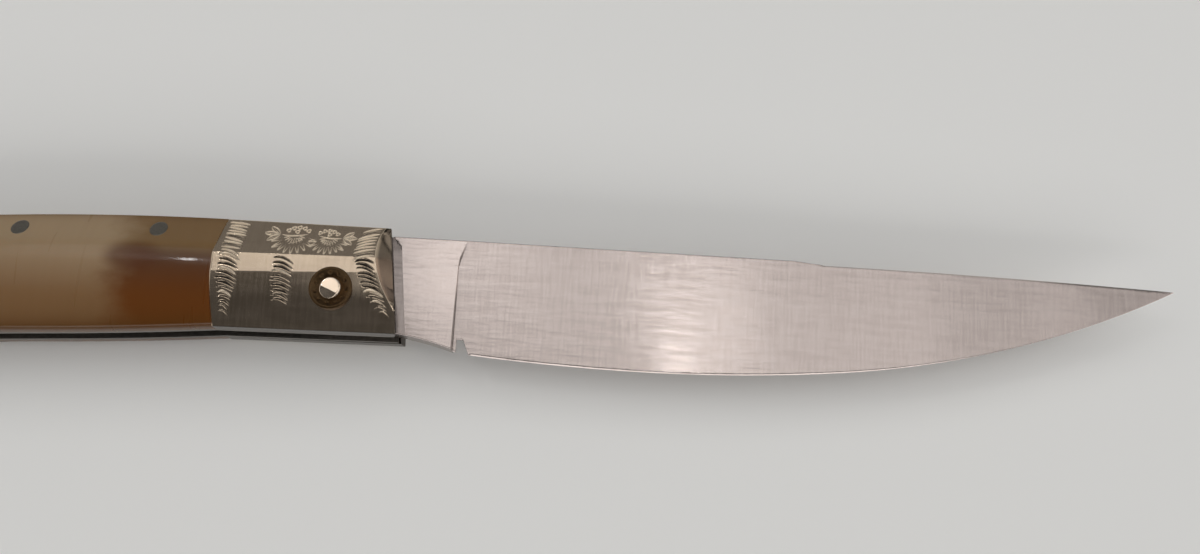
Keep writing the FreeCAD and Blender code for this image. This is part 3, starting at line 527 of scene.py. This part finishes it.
bolster = {
    "ridge": (4.37, 0.0225), "middle": (1.95, 0.05), "low": (-1.95, 0.035),  # facet lines: height and climb
    "lineCentre": -4.9, "footRun": 24.3,       # where the lines have that height, and the run of the foot
    "drop": 0.65, "dropCurve": 0.5, "foot": 4.3,  # the middle facet's fall, ever faster; bottom edge
    "front": 6.66, "frontLean": 0.14, "overhang": 0.17,
    "scoop": (5.36, 6.9, 0.038, 0.075),        # hollow at the front: deepest place, its height, two curves
    "scoopFoot": 2.6, "scoopHollow": 0.12, "scoopWide": (1.2, 2.0), "scoopLeast": 0.05, "scoopStart": 0.02,
    "hollowTurn": (2.5, 5.0), "hollowEase": (0.1, 0.45),  # heights from its lower to its upper part; its edge
    # painted shade in the hollow (lower, upper part), a painted sheen low in it, and a painted highlight
    # along its rim: strength, width, and the hollow's least reach for it
    "hollowPaintedShade": (0.62, 0.7), "hollowSheen": 0.08, "rimShine": 0.5, "rimWidth": 0.09, "rimFrom": 0.1,
    # painted shade on the walls, the heights near the floor and the back where it is painted, and the
    # hollow's least height over the floor
    "wallPaintedShade": 0.85, "wallFoot": 0.2, "wallTop": 0.7, "rimLeast": 0.06,
    "seat": 2.72, "seatFloor": 4.75, "edgeEase": (0.1, 0.42),
    "columns": 290, "scoopColumns": 26, "rows": (54, 56, 48, 106),
}

wriggle = {  # bands of short arched cuts
    "reach": 1.4, "pitch": 0.64, "arch": 0.6, "lean": 0.3, "thick": 0.2, "seed": 7,
    "reachSpread": (0.86, 1.06), "leanSpread": 0.07, "archSpread": (0.7, 1.25),
    "thickSpread": (0.75, 1.2), "pitchSpread": (0.85, 1.15),
    "upper": (3.6, 4.8), "upperFlat": 0.7, "upperClose": 0.2,  # heights to the upper facet: flatter, closer
    "shrinks": (0.5, -3.5), "shrink": 0.4,     # heights over which they get smaller, and by how much
    "crook": 0.2, "droop": 0.4,                # where along its reach a cut bends, and how its ends hang
    # painted highlights: cuts on the upper facet are painted brighter than those on the darker facets, where
    # a few are painted as glints
    "dullShine": ([0.0, 0.05, 0.6], [0.6, 0.25, 0.15]), "upperShine": ([0.15, 0.95], [0.35, 0.65]),
    "rearBand": (-14.35, -4.0, 9.6), "middleBand": (-6.85, -2.0, 3.7), "frontBand": (-1.5, -2.9, 9.4),
    "climbs": (0.1, 0.0, 0.75),                # lean taken off each band on the upper facet
}

leafSprig = {  # drawn about its own middle: across, up
    "places": ((-6.7, 7.35, 1, 1.15), (-1.0, 7.25, -1, 1.02)),  # the two sprigs: x, y, facing and size
    "stem": ((-1.4, 0.3), (0.3, -0.15), (2.0, 0.55)), "stemThick": 0.15,
    "fan": (0.4, 0.3), "fanTurns": (203, 342, 9), "ribReach": (0.6, 1.0, 1.4), "rib": (0.11, 0.9),
    "scallop": (1.5, 0.22, 85, 0.13),          # reach, radius, half turn and thickness
    "berries": ((-0.55, 0.95), (0.0, 1.3), (0.65, 1.45), (1.3, 1.35), (1.85, 1.0), (0.55, 0.8)),
    "berry": (0.2, 110, 0.16),                 # radius, turn of each of three cuts, thickness
    "leafRoot": (-1.4, 0.3), "leaves": ((142, 1.75), (178, 2.0), (216, 1.8)),  # direction and length
    "leafCuts": ((-0.55, 0.14), (0.55, 0.14), (0.0, 0.08)),  # both edges and the midrib: bulge, thickness
    "tendril": ((-1.0, -0.95, 0.42, 100, 290, 0.13), (-0.75, -1.15, 0.22, 290, 480, 0.12)),
}

cuts = {
    # the grooves are painted darker, paintedShade being its strength, a painted shade
    "depth": 0.17, "width": 0.2, "paintedShade": 0.95, "steps": 21, "margin": 1.3,
    "end": 0.02,                               # how far they run on past the rim of the hollow
    "endWidth": 0.35, "fullness": 0.6,         # width at the ends, and how soon a cut reaches its full width
    # how fast the painted highlight and the painted shade rise across a groove
    "shineGain": 2.2, "paintedShadeGain": 3.0,
}


def scoopEdge(y):  # rim of the hollow at the front: a bay that opens faster towards the spine
    deepest, height, below, above = bolster["scoop"]
    return deepest + np.where(y < height, below, above) * (y - height) ** 2


def bolsterFront(y):  # foot of the front, which leans forward towards the belly
    return bolster["front"] + bolster["frontLean"] * (handle["top"] - y)


def wriggleBand(rng, centre, bottom, top, climb):
    # A stack of short arched cuts, each bent and leaning in its own way: centre gives x for each height,
    # and climb the lean that is taken off on the upper facet. A cut is three points, thickness and shine.
    w = wriggle
    strokes = []
    y = bottom
    while y < top:
        upper = float(smoothStep(*w["upper"], y))
        x = float(centre(y))
        shrink = 1 - w["shrink"] * float(smoothStep(*w["shrinks"], y))
        reach = w["reach"] * rng.uniform(*w["reachSpread"]) * shrink
        lean = w["lean"] + rng.normal(0, w["leanSpread"]) - climb * upper
        arch = w["arch"] * rng.uniform(*w["archSpread"]) * (1 - w["upperFlat"] * upper)
        # painted highlight: how bright the cut is painted, by facet
        kinds, odds = w["upperShine"] if upper > 0.5 else w["dullShine"]
        shine = rng.choice(kinds, p=odds)
        thick = w["thick"] * rng.uniform(*w["thickSpread"])
        hang = w["droop"] * arch
        strokes.append(((x - reach, y + lean - hang), (x - w["crook"] * reach, y + arch),
                        (x + reach, y - lean - hang), thick * shrink, shine * shrink))
        y += w["pitch"] * rng.uniform(*w["pitchSpread"]) * (1 - w["upperClose"] * upper)
    return strokes


def arcStroke(centre, radius, first, last, thick):  # one bent cut, round a centre
    turns = np.radians([first, (first + last) / 2, last])
    bow = radius / math.cos((turns[2] - turns[0]) / 2)
    spots = [(centre[0] + r * math.cos(t), centre[1] + r * math.sin(t))
             for r, t in zip((radius, bow, radius), turns)]
    return (*spots, thick, 1.0)


def sprig(x, y, way, size):
    # A leafy sprig: a ribbed fan with a scalloped hem under its stem, berries over it, and three pointed
    # leaves and a curled tendril on its outer side.
    s = leafSprig

    def spot(across, up):
        return x + way * size * across, y + size * up

    def away(root, turn, reach, aside=0.0):  # a point at a distance and direction from another
        cosine, sine = math.cos(math.radians(turn)), math.sin(math.radians(turn))
        return root[0] + reach * cosine - aside * sine, root[1] + reach * sine + aside * cosine

    def curl(across, up, radius, first, last, thick):
        turns = (first, last) if way > 0 else (180 - first, 180 - last)
        return arcStroke(spot(across, up), radius * size, *turns, thick)

    strokes = [(*(spot(*point) for point in s["stem"]), s["stemThick"], 1.0)]
    reach, radius, half, thick = s["scallop"]
    for turn in np.linspace(*s["fanTurns"]):  # ribs of the fan, and the scallop at the end of each
        strokes.append((*(spot(*away(s["fan"], turn, far)) for far in s["ribReach"]), *s["rib"]))
        strokes.append(curl(*away(s["fan"], turn, reach), radius, turn - half, turn + half, thick))
    radius, sweep, thick = s["berry"]
    for berry in s["berries"]:
        strokes += [curl(*berry, radius, first, first + sweep, thick) for first in (0, 120, 240)]
    for turn, long in s["leaves"]:
        tip = spot(*away(s["leafRoot"], turn, long))
        for bulge, thick in s["leafCuts"]:
            bend = spot(*away(s["leafRoot"], turn, long / 2, bulge))
            strokes.append((spot(*s["leafRoot"]), bend, tip, thick, 1.0))
    return strokes + [curl(*part) for part in s["tendril"]]


def engraving():  # all cuts: a band at the rear, one in the middle and one along the hollow, and the sprigs
    rng = np.random.default_rng(wriggle["seed"])
    rear, middle, front = wriggle["rearBand"], wriggle["middleBand"], wriggle["frontBand"]
    rearClimb, middleClimb, frontClimb = wriggle["climbs"]
    strokes = wriggleBand(rng, lambda y: rear[0], *rear[1:], rearClimb)
    strokes += wriggleBand(rng, lambda y: middle[0], *middle[1:], middleClimb)
    strokes += wriggleBand(rng, lambda y: scoopEdge(y) + front[0], *front[1:], frontClimb)
    for place in leafSprig["places"]:
        strokes += sprig(*place)
    return strokes


def cutField(x, y):  # depth, shine and painted shade of the cuts: V grooves that taper to both ends of each stroke
    depth, bright, paintedShade = np.zeros(x.shape), np.zeros(x.shape), np.zeros(x.shape)
    t = np.linspace(0, 1, cuts["steps"])[:, None]
    swell = cuts["endWidth"] + (1 - cuts["endWidth"]) * np.sin(math.pi * t[:, 0]) ** cuts["fullness"]
    for first, bend, last, thick, shine in engraving():
        spots = (1 - t) ** 2 * np.array(first) + 2 * t * (1 - t) * np.array(bend) + t ** 2 * np.array(last)
        wide = thick * swell
        low, high = spots.min(0) - thick * cuts["margin"], spots.max(0) + thick * cuts["margin"]
        near = (x > low[0]) & (x < high[0]) & (y > low[1]) & (y < high[1])
        gap = np.hypot(x[near][:, None] - spots[:, 0], y[near][:, None] - spots[:, 1])
        groove = (np.clip(1 - gap / wide, 0, 1) * (wide / cuts["width"])).max(1)
        # brightness of the cut, partly painted highlight, and painted shade in the groove
        shiny = np.clip(groove * cuts["shineGain"], 0, 1) * shine
        grooveShade = np.clip(groove * cuts["paintedShadeGain"], 0, 1) * (1 - shine) * cuts["paintedShade"]
        depth[near] = np.maximum(depth[near], groove)
        bright[near] = np.maximum(bright[near], shiny)
        paintedShade[near] = np.maximum(paintedShade[near], grooveShade)
    return depth, bright, paintedShade


def bolsterSkin():
    # Outer face, its shine (bright-cut metal with painted highlights and sheen) and its painted shade.
    # Heights run straight between the facet lines, fall away through the hollow to the front, and lose the
    # cuts, the eased edges and the seat of the pivot's washer.
    b = bolster
    columns = b["columns"]
    x = np.linspace(handle["rear"], b["front"] + 1, columns + b["scoopColumns"])[None, :]
    rise = handle["frontFoot"] - handle["foot"]
    lines = [handle["foot"] + rise * (x - handle["rear"]) / b["footRun"]]
    lines += [level + climb * (x - b["lineCentre"]) for level, climb in (b["low"], b["middle"], b["ridge"])]
    lines.append(np.full_like(x, handle["top"]))
    heights = [b["foot"], handle["face"] - b["drop"], handle["face"], handle["face"], handle["lip"]]
    ys, zs = [], []
    for number, rows in enumerate(b["rows"]):
        share = np.linspace(0, 1, rows + 1)[(number > 0):, None]
        ys.append(lines[number] + (lines[number + 1] - lines[number]) * share)
        climb = share * (1 + b["dropCurve"] - b["dropCurve"] * share) if number == 1 else share
        zs.append(heights[number] + (heights[number + 1] - heights[number]) * climb + 0 * x)
    y, z = np.concatenate(ys), np.concatenate(zs)
    front, rear, below = bolsterFront(y), jointPlace(y), handle["top"] - y
    narrow, full = b["scoopWide"]  # the hollow fades out where it is narrow
    reach = np.clip((front - scoopEdge(y)) / narrow, 0, 1)
    front = front + b["overhang"] * (z - b["scoopFoot"]) * (1 - reach)
    scoop = np.minimum(scoopEdge(y), front - b["scoopLeast"])
    plain = rear + (scoop - rear) * np.append(np.linspace(0, 1, columns), np.ones(b["scoopColumns"]))
    hollow = np.append(np.zeros(columns), np.linspace(b["scoopStart"], 1, b["scoopColumns"]))
    place = plain + (front - scoop) * hollow
    past = np.maximum(place - scoop, 0)
    width = np.maximum(front - scoop, b["scoopLeast"])
    share = past / width
    dish = b["scoopHollow"] * 4 * share * (1 - share) * np.minimum(width / full, 1)
    fall = np.where(past > 0, (z - b["scoopFoot"]) * share * reach + dish, 0)
    z = np.maximum(z - fall, handle["floor"] + b["rimLeast"])
    cut, bright, paintedShade = (field * (past < cuts["end"]) for field in cutField(place, y))
    upper, inside = smoothStep(*b["hollowTurn"], y), smoothStep(*b["hollowEase"], past)
    lowShade, highShade = b["hollowPaintedShade"]  # painted shade in the hollow, and a painted highlight line along its rim
    paintedShade = np.maximum(paintedShade, (lowShade + (highShade - lowShade) * upper) * inside)
    rimHighlight = np.clip(1 - np.abs(place - scoop) / b["rimWidth"], 0, 1) * (reach > b["rimFrom"])
    # painted sheen low in the hollow, and the painted highlight along its rim
    bright = np.maximum(bright, b["hollowSheen"] * (1 - upper) * inside)
    bright = np.maximum(bright, b["rimShine"] * rimHighlight)
    # painted shade on the low and top edges of the hollow, along the bottom row and at the front end
    wall = (past > 0) & ((z < handle["floor"] + b["wallFoot"]) | (below < b["wallTop"]))
    paintedShade = np.where(wall, b["wallPaintedShade"], paintedShade)
    paintedShade[0], paintedShade[:, -1] = b["wallPaintedShade"], b["wallPaintedShade"]
    z = z - b["edgeEase"][1] * np.maximum(b["edgeEase"][0] - np.minimum(place - rear, below), 0)
    z = z - cut * cuts["depth"]
    z = np.where(np.hypot(place, y) < b["seat"], b["seatFloor"], z)
    return np.stack([place, y, z], -1), bright, paintedShade


def makeBolsters():
    skin, cut, paintedShade = bolsterSkin()
    points, faces = closeSlab(skin, handle["floor"], wholeFloor=False)
    walls = np.arange(len(points)) >= cut.size
    points[walls, 0] = np.minimum(points[walls, 0], bolsterFront(points[walls, 1]))  # under the overhang
    # the cut mark carries brightness, bright-cut metal with painted highlights and sheen; the paintedShade
    # mark is painted shade, full on the walls
    marks = {"cut": np.concatenate([cut.ravel(), np.zeros(walls.sum())]),
             "paintedShade": np.concatenate([paintedShade.ravel(), np.full(walls.sum(), bolster["wallPaintedShade"])])}
    for name, side in (("right_bolster", 1), ("left_bolster", -1)):
        makePiece(name + "_engraved", points * [1, 1, side], faces, "handle", bolsterSatin, "bolster_steel",
                  [name], marks)


makeBolsters()


# Scale: rows follow the facets of the handle and columns run from the joint to the butt; the
# facets meet in soft ridges and the butt is rounded over.

scale = {
    "facet": 5.55, "keel": 3.5, "keelDepth": 1.2, "soft": 1.1, "crown": 1.3, "crownStart": 1.2,
    "buttRound": 1.2, "rimRound": 0.6, "rimLeast": 0.05,
    "columns": 260, "gather": 0.03, "buttColumns": (12, 40), "rows": (30, 40, 44),
    "glowReach": (1.8, 0.5), "backGlow": 0.5,  # how far the painted amber glow of thin edges reaches in from foot and back
}


def underHeight(x):  # underside of the handle: a swelling arc, then a long hollow one to the butt
    swell = arcHeight(x, handle["swellEnd"], (handle["rear"], handle["foot"]), handle["swellRadius"], -1)
    keel = arcHeight(x, handle["buttFoot"], handle["swellEnd"], handle["keelRadius"], 1)
    return np.where(x > handle["swellEnd"][0], swell, keel)


def buttPlace(y):  # butt: a straight line from foot to top, bowed out by a parabola
    (footX, footY), (topX, topY) = handle["buttFoot"], handle["buttTop"]
    share = (y - footY) / (topY - footY)
    return footX + (topX - footX) * share - handle["buttBow"] * 4 * share * (1 - share)


def scaleHeight(x, y):
    # Outer face: the lowest of the crowned side, the upper facet and the keel's facet, with soft ridges
    # between them, less a quarter round at the butt and one along the foot.
    s = scale
    lean = np.sqrt(1 - (np.minimum(x - handle["rear"], 0) / handle["backRadius"]) ** 2)
    facet = handle["lip"] + (handle["face"] - handle["lip"]) / s["facet"] * (backHeight(x) - y) * lean
    keel = handle["face"] - s["keelDepth"] + s["keelDepth"] / s["keel"] * (y - underHeight(x))
    ridge = backHeight(x) - s["facet"] - s["crownStart"]
    crown = s["crown"] * np.clip((ridge - y) / (ridge - underHeight(x)), 0, 1) ** 2
    skin = softMin(softMin(handle["face"] - crown, facet, s["soft"]), keel, s["soft"])
    for radius, inward in ((s["buttRound"], x - buttPlace(y)), (s["rimRound"], y - underHeight(x))):
        short = np.clip(radius - inward, 0, radius)
        skin = skin - radius + np.sqrt(radius ** 2 - short ** 2)
    return np.maximum(skin, handle["floor"] + s["rimLeast"])


def scaleSkin():  # rows share out the height of each facet, and columns the length from joint to butt
    s = scale
    along = np.linspace(0, 1, s["columns"])
    along = along - s["gather"] * np.sin(2 * math.pi * along)
    last, close = s["buttColumns"]
    along = np.concatenate([along[:-last], np.linspace(along[-last], 1, close)])[None, :]
    keelRows, sideRows, facetRows = s["rows"]
    share = spread((0, 1, keelRows + 1), (1 + 1 / sideRows, 2, sideRows), (2 + 1 / facetRows, 3, facetRows))
    share = share[:, None]
    x = np.full((len(share), along.shape[1]), (handle["rear"] + handle["buttTop"][0]) / 2)
    for _ in range(settling):  # settle each row's ends on the joint and the butt
        under, back = underHeight(x), backHeight(x)
        low, high = under + s["keel"], back - s["facet"]
        y = under + (low - under) * np.clip(share, 0, 1)
        y = y + (high - low) * np.clip(share - 1, 0, 1) + (back - high) * np.clip(share - 2, 0, 1)
        x = jointPlace(y[:, :1]) + (buttPlace(y[:, -1:]) - jointPlace(y[:, :1])) * along
    return np.stack([x, y, scaleHeight(x, y)], -1)


def makeScales():
    points, faces = closeSlab(scaleSkin(), handle["floor"], wholeFloor=True)
    above = np.maximum(points[:, 1] - underHeight(points[:, 0]), 0)
    below = np.maximum(backHeight(points[:, 0]) - points[:, 1], 0)
    footReach, backReach = scale["glowReach"]
    # painted glow: strongest at the foot and the back, fading inwards
    paintedEdgeGlow = np.maximum(np.exp(-above / footReach), scale["backGlow"] * np.exp(-below / backReach))
    for name, side in (("right_scale", 1), ("left_scale", -1)):
        makePiece(name + "_horn", points * [1, 1, side], faces, "handle", hornSkin, "horn", [name],
                  {"paintedEdgeGlow": paintedEdgeGlow})


makeScales()


# Pins: rods filed to the slope of the upper facets. Those of the scales are a hair proud and softly
# domed; those of the bolsters are peened and dressed away until they don't show.

pins = {
    "radius": 1.2, "inset": 2.25, "first": -25.3, "pitch": -19.28, "count": 6,
    "proud": 0.03, "dome": 0.6, "edgeDrop": 0.02,
    "bolsterRadius": 1.0, "bolsterPlaces": (-6.18, -11.8), "bolsterDepth": 0.12,
    "turns": 48, "rings": (0.3, 0.6, 0.85, 0.95, 1.0), "sharpAngle": 50,
}


def pinRod(x, y, wide, height):  # discs across both facets, joined by the wall of the rod
    turn = np.linspace(0, 2 * math.pi, pins["turns"], endpoint=False)[None, :]
    share = np.array(pins["rings"])[:, None]
    px, py = x + wide * share * np.cos(turn), y + wide * share * np.sin(turn)
    top = np.stack([px, py, height(px, py, share)], -1)
    rings = np.concatenate([top, (top * [1, 1, -1])[::-1]])
    ends = np.array([[x, y, top[0, :, 2].mean()], [x, y, -top[0, :, 2].mean()]])
    first = np.arange(pins["turns"])
    last = first + (len(rings) - 1) * pins["turns"]
    faces = gridFaces(len(rings), pins["turns"], wrapCols=True).tolist()
    for number, ring in enumerate((first, last)):
        middle = np.full(pins["turns"], rings.size // 3 + number)
        faces += np.stack([ring, np.roll(ring, -1), middle], -1).tolist()
    return np.concatenate([rings.reshape(-1, 3), ends]), faces


def makePins():
    def domed(x, y, share):  # a parabola over the scale's facet, with its edge let down
        rise = pins["proud"] * (1 + pins["dome"] - pins["dome"] * share ** 2)
        return scaleHeight(x, y) + rise - pins["edgeDrop"] * (share == 1)

    def dressed(x, y, share):  # parallel to the bolster's facet and just under it
        slope = (handle["face"] - handle["lip"]) / (handle["top"] - bolster["ridge"][0])
        return handle["lip"] + slope * (handle["top"] - y) - pins["bolsterDepth"]

    for number in range(pins["count"]):
        x = pins["first"] + pins["pitch"] * number
        path = handle["backRadius"] - pins["inset"]
        y = handle["top"] - handle["backRadius"] + math.sqrt(path ** 2 - (x - handle["rear"]) ** 2)
        name = f"handle_pin_{number + 1}"
        makePiece(name + "_filed", *pinRod(x, y, pins["radius"], domed), "handle",
                  metals["filed_pin_steel"], "pin_steel", [name], sharpAngle=pins["sharpAngle"])
    for number, x in enumerate(pins["bolsterPlaces"]):
        y = handle["top"] - pins["inset"]
        name = f"bolster_pin_{number + 1}"
        makePiece(name + "_dressed", *pinRod(x, y, pins["bolsterRadius"], dressed), "handle",
                  metals["filed_pin_steel"], "bolster_steel", [name], sharpAngle=pins["sharpAngle"])


makePins()


# Pivot: profiles turned about the axis.

pivotSet = {
    "dome": 1.6, "domePower": 4, "shaft": 1.25, "seat": 5.55, "top": 6.5,
    "flat": 6.3, "flatTilt": (0.02, -0.038), "flatEase": 0.04,  # flat left by the hammer
    "worn": (0.42, 0.36, -2.05),    # sloping side below it: where it starts, its slope and direction
    "washer": 2.95, "lip": 2.58, "rim": 6.0, "floor": 4.7, "bore": 1.28,
    "dishStart": 1.55, "dishPower": 1.25,
    "rimProfile": [(2.62, 6.01), (2.87, 6.0), (2.93, 5.96), (2.95, 5.9)],  # radius and height
    "punches": 11, "punchPlace": 2.12, "punchRadius": 0.26, "punchDepth": 0.15,
    "turns": 144, "rings": 30, "sharpAngle": 50,
}


def turned(profile, ripple=None):  # carries a profile of radius and height round the axis
    turn = np.linspace(0, 2 * math.pi, pivotSet["turns"], endpoint=False)[None, :]
    radius, height = (np.asarray(part)[:, None] for part in zip(*profile))
    height = height + (ripple(radius, turn) if ripple else 0)
    return np.stack([radius * np.cos(turn), radius * np.sin(turn), height + 0 * turn], -1)


def makePivot():
    # A rod with two domes, each the root of one less the fourth power of the radius, cut by the lower of
    # the tilted flat and the worn side.
    p = pivotSet
    radius = p["dome"] * np.sin(np.linspace(0, 1, p["rings"]) * math.pi / 2)
    height = p["seat"] + (p["top"] - p["seat"]) * (1 - (radius / p["dome"]) ** p["domePower"]) ** 0.5
    cap = list(zip(radius, height))
    rod = [(p["shaft"], p["seat"]), (p["shaft"], -p["seat"])]
    skin = turned(cap + rod + [(r, -h) for r, h in cap[::-1]])
    x, y, z = np.moveaxis(skin, -1, 0)
    start, slope, way = p["worn"]
    side = p["flat"] - slope * (x * math.cos(way) + y * math.sin(way) - start)
    flat = np.minimum(p["flat"] + p["flatTilt"][0] * x + p["flatTilt"][1] * y, side)
    level = np.abs(z)
    skin[..., 2] = np.sign(z) * np.where(level > p["seat"], softMin(level, flat, p["flatEase"]), level)
    makePiece("pivot_rivet", skin.reshape(-1, 3), gridFaces(*skin.shape[:2], wrapCols=True), "handle",
              metals["peened_pivot_steel"], "pivot_steel", ["pivot_pin"], sharpAngle=p["sharpAngle"])


def makeRosettes():  # a dish that steepens out to its rim, closed below, with a ring of punch marks
    p = pivotSet
    radius = np.linspace(p["dishStart"], p["lip"], p["rings"])
    share = np.maximum((radius - p["dome"]) / (p["lip"] - p["dome"]), 0)
    dish = list(zip(radius, p["seat"] + (p["rim"] - p["seat"]) * share ** p["dishPower"]))
    under = [(p["washer"], p["floor"]), (p["bore"], p["floor"])]

    def punched(r, turn):  # round hollows, each a parabola
        step = 2 * math.pi / p["punches"]
        off = (turn + step / 2) % step - step / 2
        gap = np.hypot(r - p["punchPlace"], off * p["punchPlace"]) / p["punchRadius"]
        return -p["punchDepth"] * np.clip(1 - gap ** 2, 0, 1)

    skin = turned([(p["bore"], p["seat"])] + dish + p["rimProfile"] + under, punched)
    faces = gridFaces(*skin.shape[:2], wrapRows=True, wrapCols=True)
    for name, side in (("right_rosette", 1), ("left_rosette", -1)):
        makePiece(name + "_punched", (skin * [1, 1, side]).reshape(-1, 3), faces, "handle",
                  metals["aged_brass"], "rosette_brass", [name])


makePivot()
makeRosettes()
print("pieces made")


# Stage: pale floor, soft lamps and the photograph's camera

stage = {
    "floor": "#f3f2ef", "floorRough": 0.8, "floorSize": 3.0, "world": "#8c8c8c", "worldStrength": 0.35,
    "target": (36.24, 5.23, 0.0), "distance": 160.0, "tilt": 15.0, "roll": 3.43,  # millimetres and degrees
    "focal": 1135.0, "imageWidth": 1200.0, "sensor": 36.0, "clipStart": 0.005,
}

lamps = {  # place and aim in metres, width, depth and brightness
    "overhead": ((0.085, 0.075, 0.62), (0.06, 0.0, 0.0), 0.37, 0.27, 0.94),  # over the blade
    "next": ((0.32, 0.075, 0.62), (0.06, 0.0, 0.0), 0.1, 0.27, 0.76),        # falling off to the tip
    "far": ((0.445, 0.075, 0.62), (0.06, 0.0, 0.0), 0.15, 0.27, 0.61),
    "glint": ((0.09, 0.0, 0.60), (0.06, 0.0, 0.0), 0.012, 0.03, 18.0),       # bright spot on the grind
    "glow": ((0.125, 0.08, 0.60), (0.06, 0.0, 0.0), 0.04, 0.06, 1.1),
    "strip": ((-0.13, 0.19, 0.60), (0.0, 0.0, 0.0), 0.24, 0.12, 1.05),       # bolster and scale
    "side": ((-0.42, 0.14, 0.60), (0.0, 0.0, 0.0), 0.2, 0.3, 0.3),
    "ridge": ((-0.262, 0.262, 0.608), (-0.014, 0.009, 0.012), 0.006, 0.08, 95.0),  # line along the ridge
    "rear": ((0.0, 0.72, 0.86), (0.0, 0.0, 0.0), 1.4, 0.5, 0.75),            # upper facets and spine
    "back": ((0.0, 1.0, 0.27), (0.0, 0.0, 0.02), 1.8, 0.3, 0.18),
    "front": ((0.05, -1.10, 0.62), (0.03, 0.0, 0.0), 1.6, 0.5, 2.0),         # belly side
    "left": ((-1.15, -0.10, 0.60), (0.0, 0.0, 0.0), 0.9, 1.9, 0.9),
    "right": ((1.25, 0.0, 0.70), (0.05, 0.0, 0.0), 1.0, 2.4, 1.1),           # hollow of the bolster
}


def makeFloor():
    material, tree = newMaterial("pale_floor")
    shader = {"Base Color": hexColour(stage["floor"]), "Roughness": stage["floorRough"]}
    skin = addNode(tree, "BsdfPrincipled", {}, shader)
    addNode(tree, "OutputMaterial", {}, {}, {"Surface": skin})
    size = stage["floorSize"] / 2
    corners = [(-size, -size, 0), (size, -size, 0), (size, size, 0), (-size, size, 0)]
    mesh = bpy.data.meshes.new("floor")
    mesh.from_pydata(corners, [], [(0, 1, 2, 3)])
    mesh.materials.append(material)
    floor = bpy.data.objects.new("floor", mesh)
    bpy.context.scene.collection.objects.link(floor)


def addLamp(name, place, aim, width, depth, radiance):  # a soft box of even brightness, in metres
    lamp = bpy.data.lights.new(name, "AREA")
    lamp.shape = "RECTANGLE"
    lamp.size, lamp.size_y = width, depth
    lamp.energy = radiance * math.pi * width * depth
    box = bpy.data.objects.new(name, lamp)
    away = (Vector(place) - Vector(aim)).normalized()
    across = Vector((1, 0, 0))
    across = (across - away * across.dot(away)).normalized()
    turn = Matrix((across, away.cross(across), away)).transposed().to_4x4()
    box.matrix_world = Matrix.Translation(place) @ turn
    bpy.context.scene.collection.objects.link(box)


def makeCamera():  # looks down at the target, tilted from upright and rolled about that line
    s = stage
    tilt, roll = math.radians(s["tilt"]), math.radians(s["roll"])
    right = Vector((math.cos(roll), math.sin(roll), 0))
    level = Vector((-math.sin(roll), math.cos(roll), 0))
    back = -level * math.sin(tilt) + Vector((0, 0, math.cos(tilt)))
    up = back.cross(right)
    target = Vector(((np.array(s["target"]) + pivot) * millimetre).tolist())
    data = bpy.data.cameras.new("photo_camera")
    data.sensor_fit = "HORIZONTAL"
    data.sensor_width = s["sensor"]
    data.lens = data.sensor_width * s["focal"] / s["imageWidth"]
    data.clip_start = s["clipStart"]
    camera = bpy.data.objects.new("photo_camera", data)
    turn = Matrix((right, up, back)).transposed().to_4x4()
    camera.matrix_world = Matrix.Translation(target + back * s["distance"] * millimetre) @ turn
    bpy.context.scene.collection.objects.link(camera)
    bpy.context.scene.camera = camera


def makeWorld():
    world = bpy.data.worlds.new("studio")
    bpy.context.scene.world = world
    world.use_nodes = True
    world.node_tree.nodes.clear()
    light = {"Color": hexColour(stage["world"]), "Strength": stage["worldStrength"]}
    sky = addNode(world.node_tree, "Background", {}, light)
    addNode(world.node_tree, "OutputWorld", {}, {}, {"Surface": sky})


makeFloor()
makeWorld()
makeCamera()
for lampName, settings in lamps.items():
    addLamp(lampName, *settings)
bpy.context.scene.view_settings.view_transform = "Standard"
print("stage made")
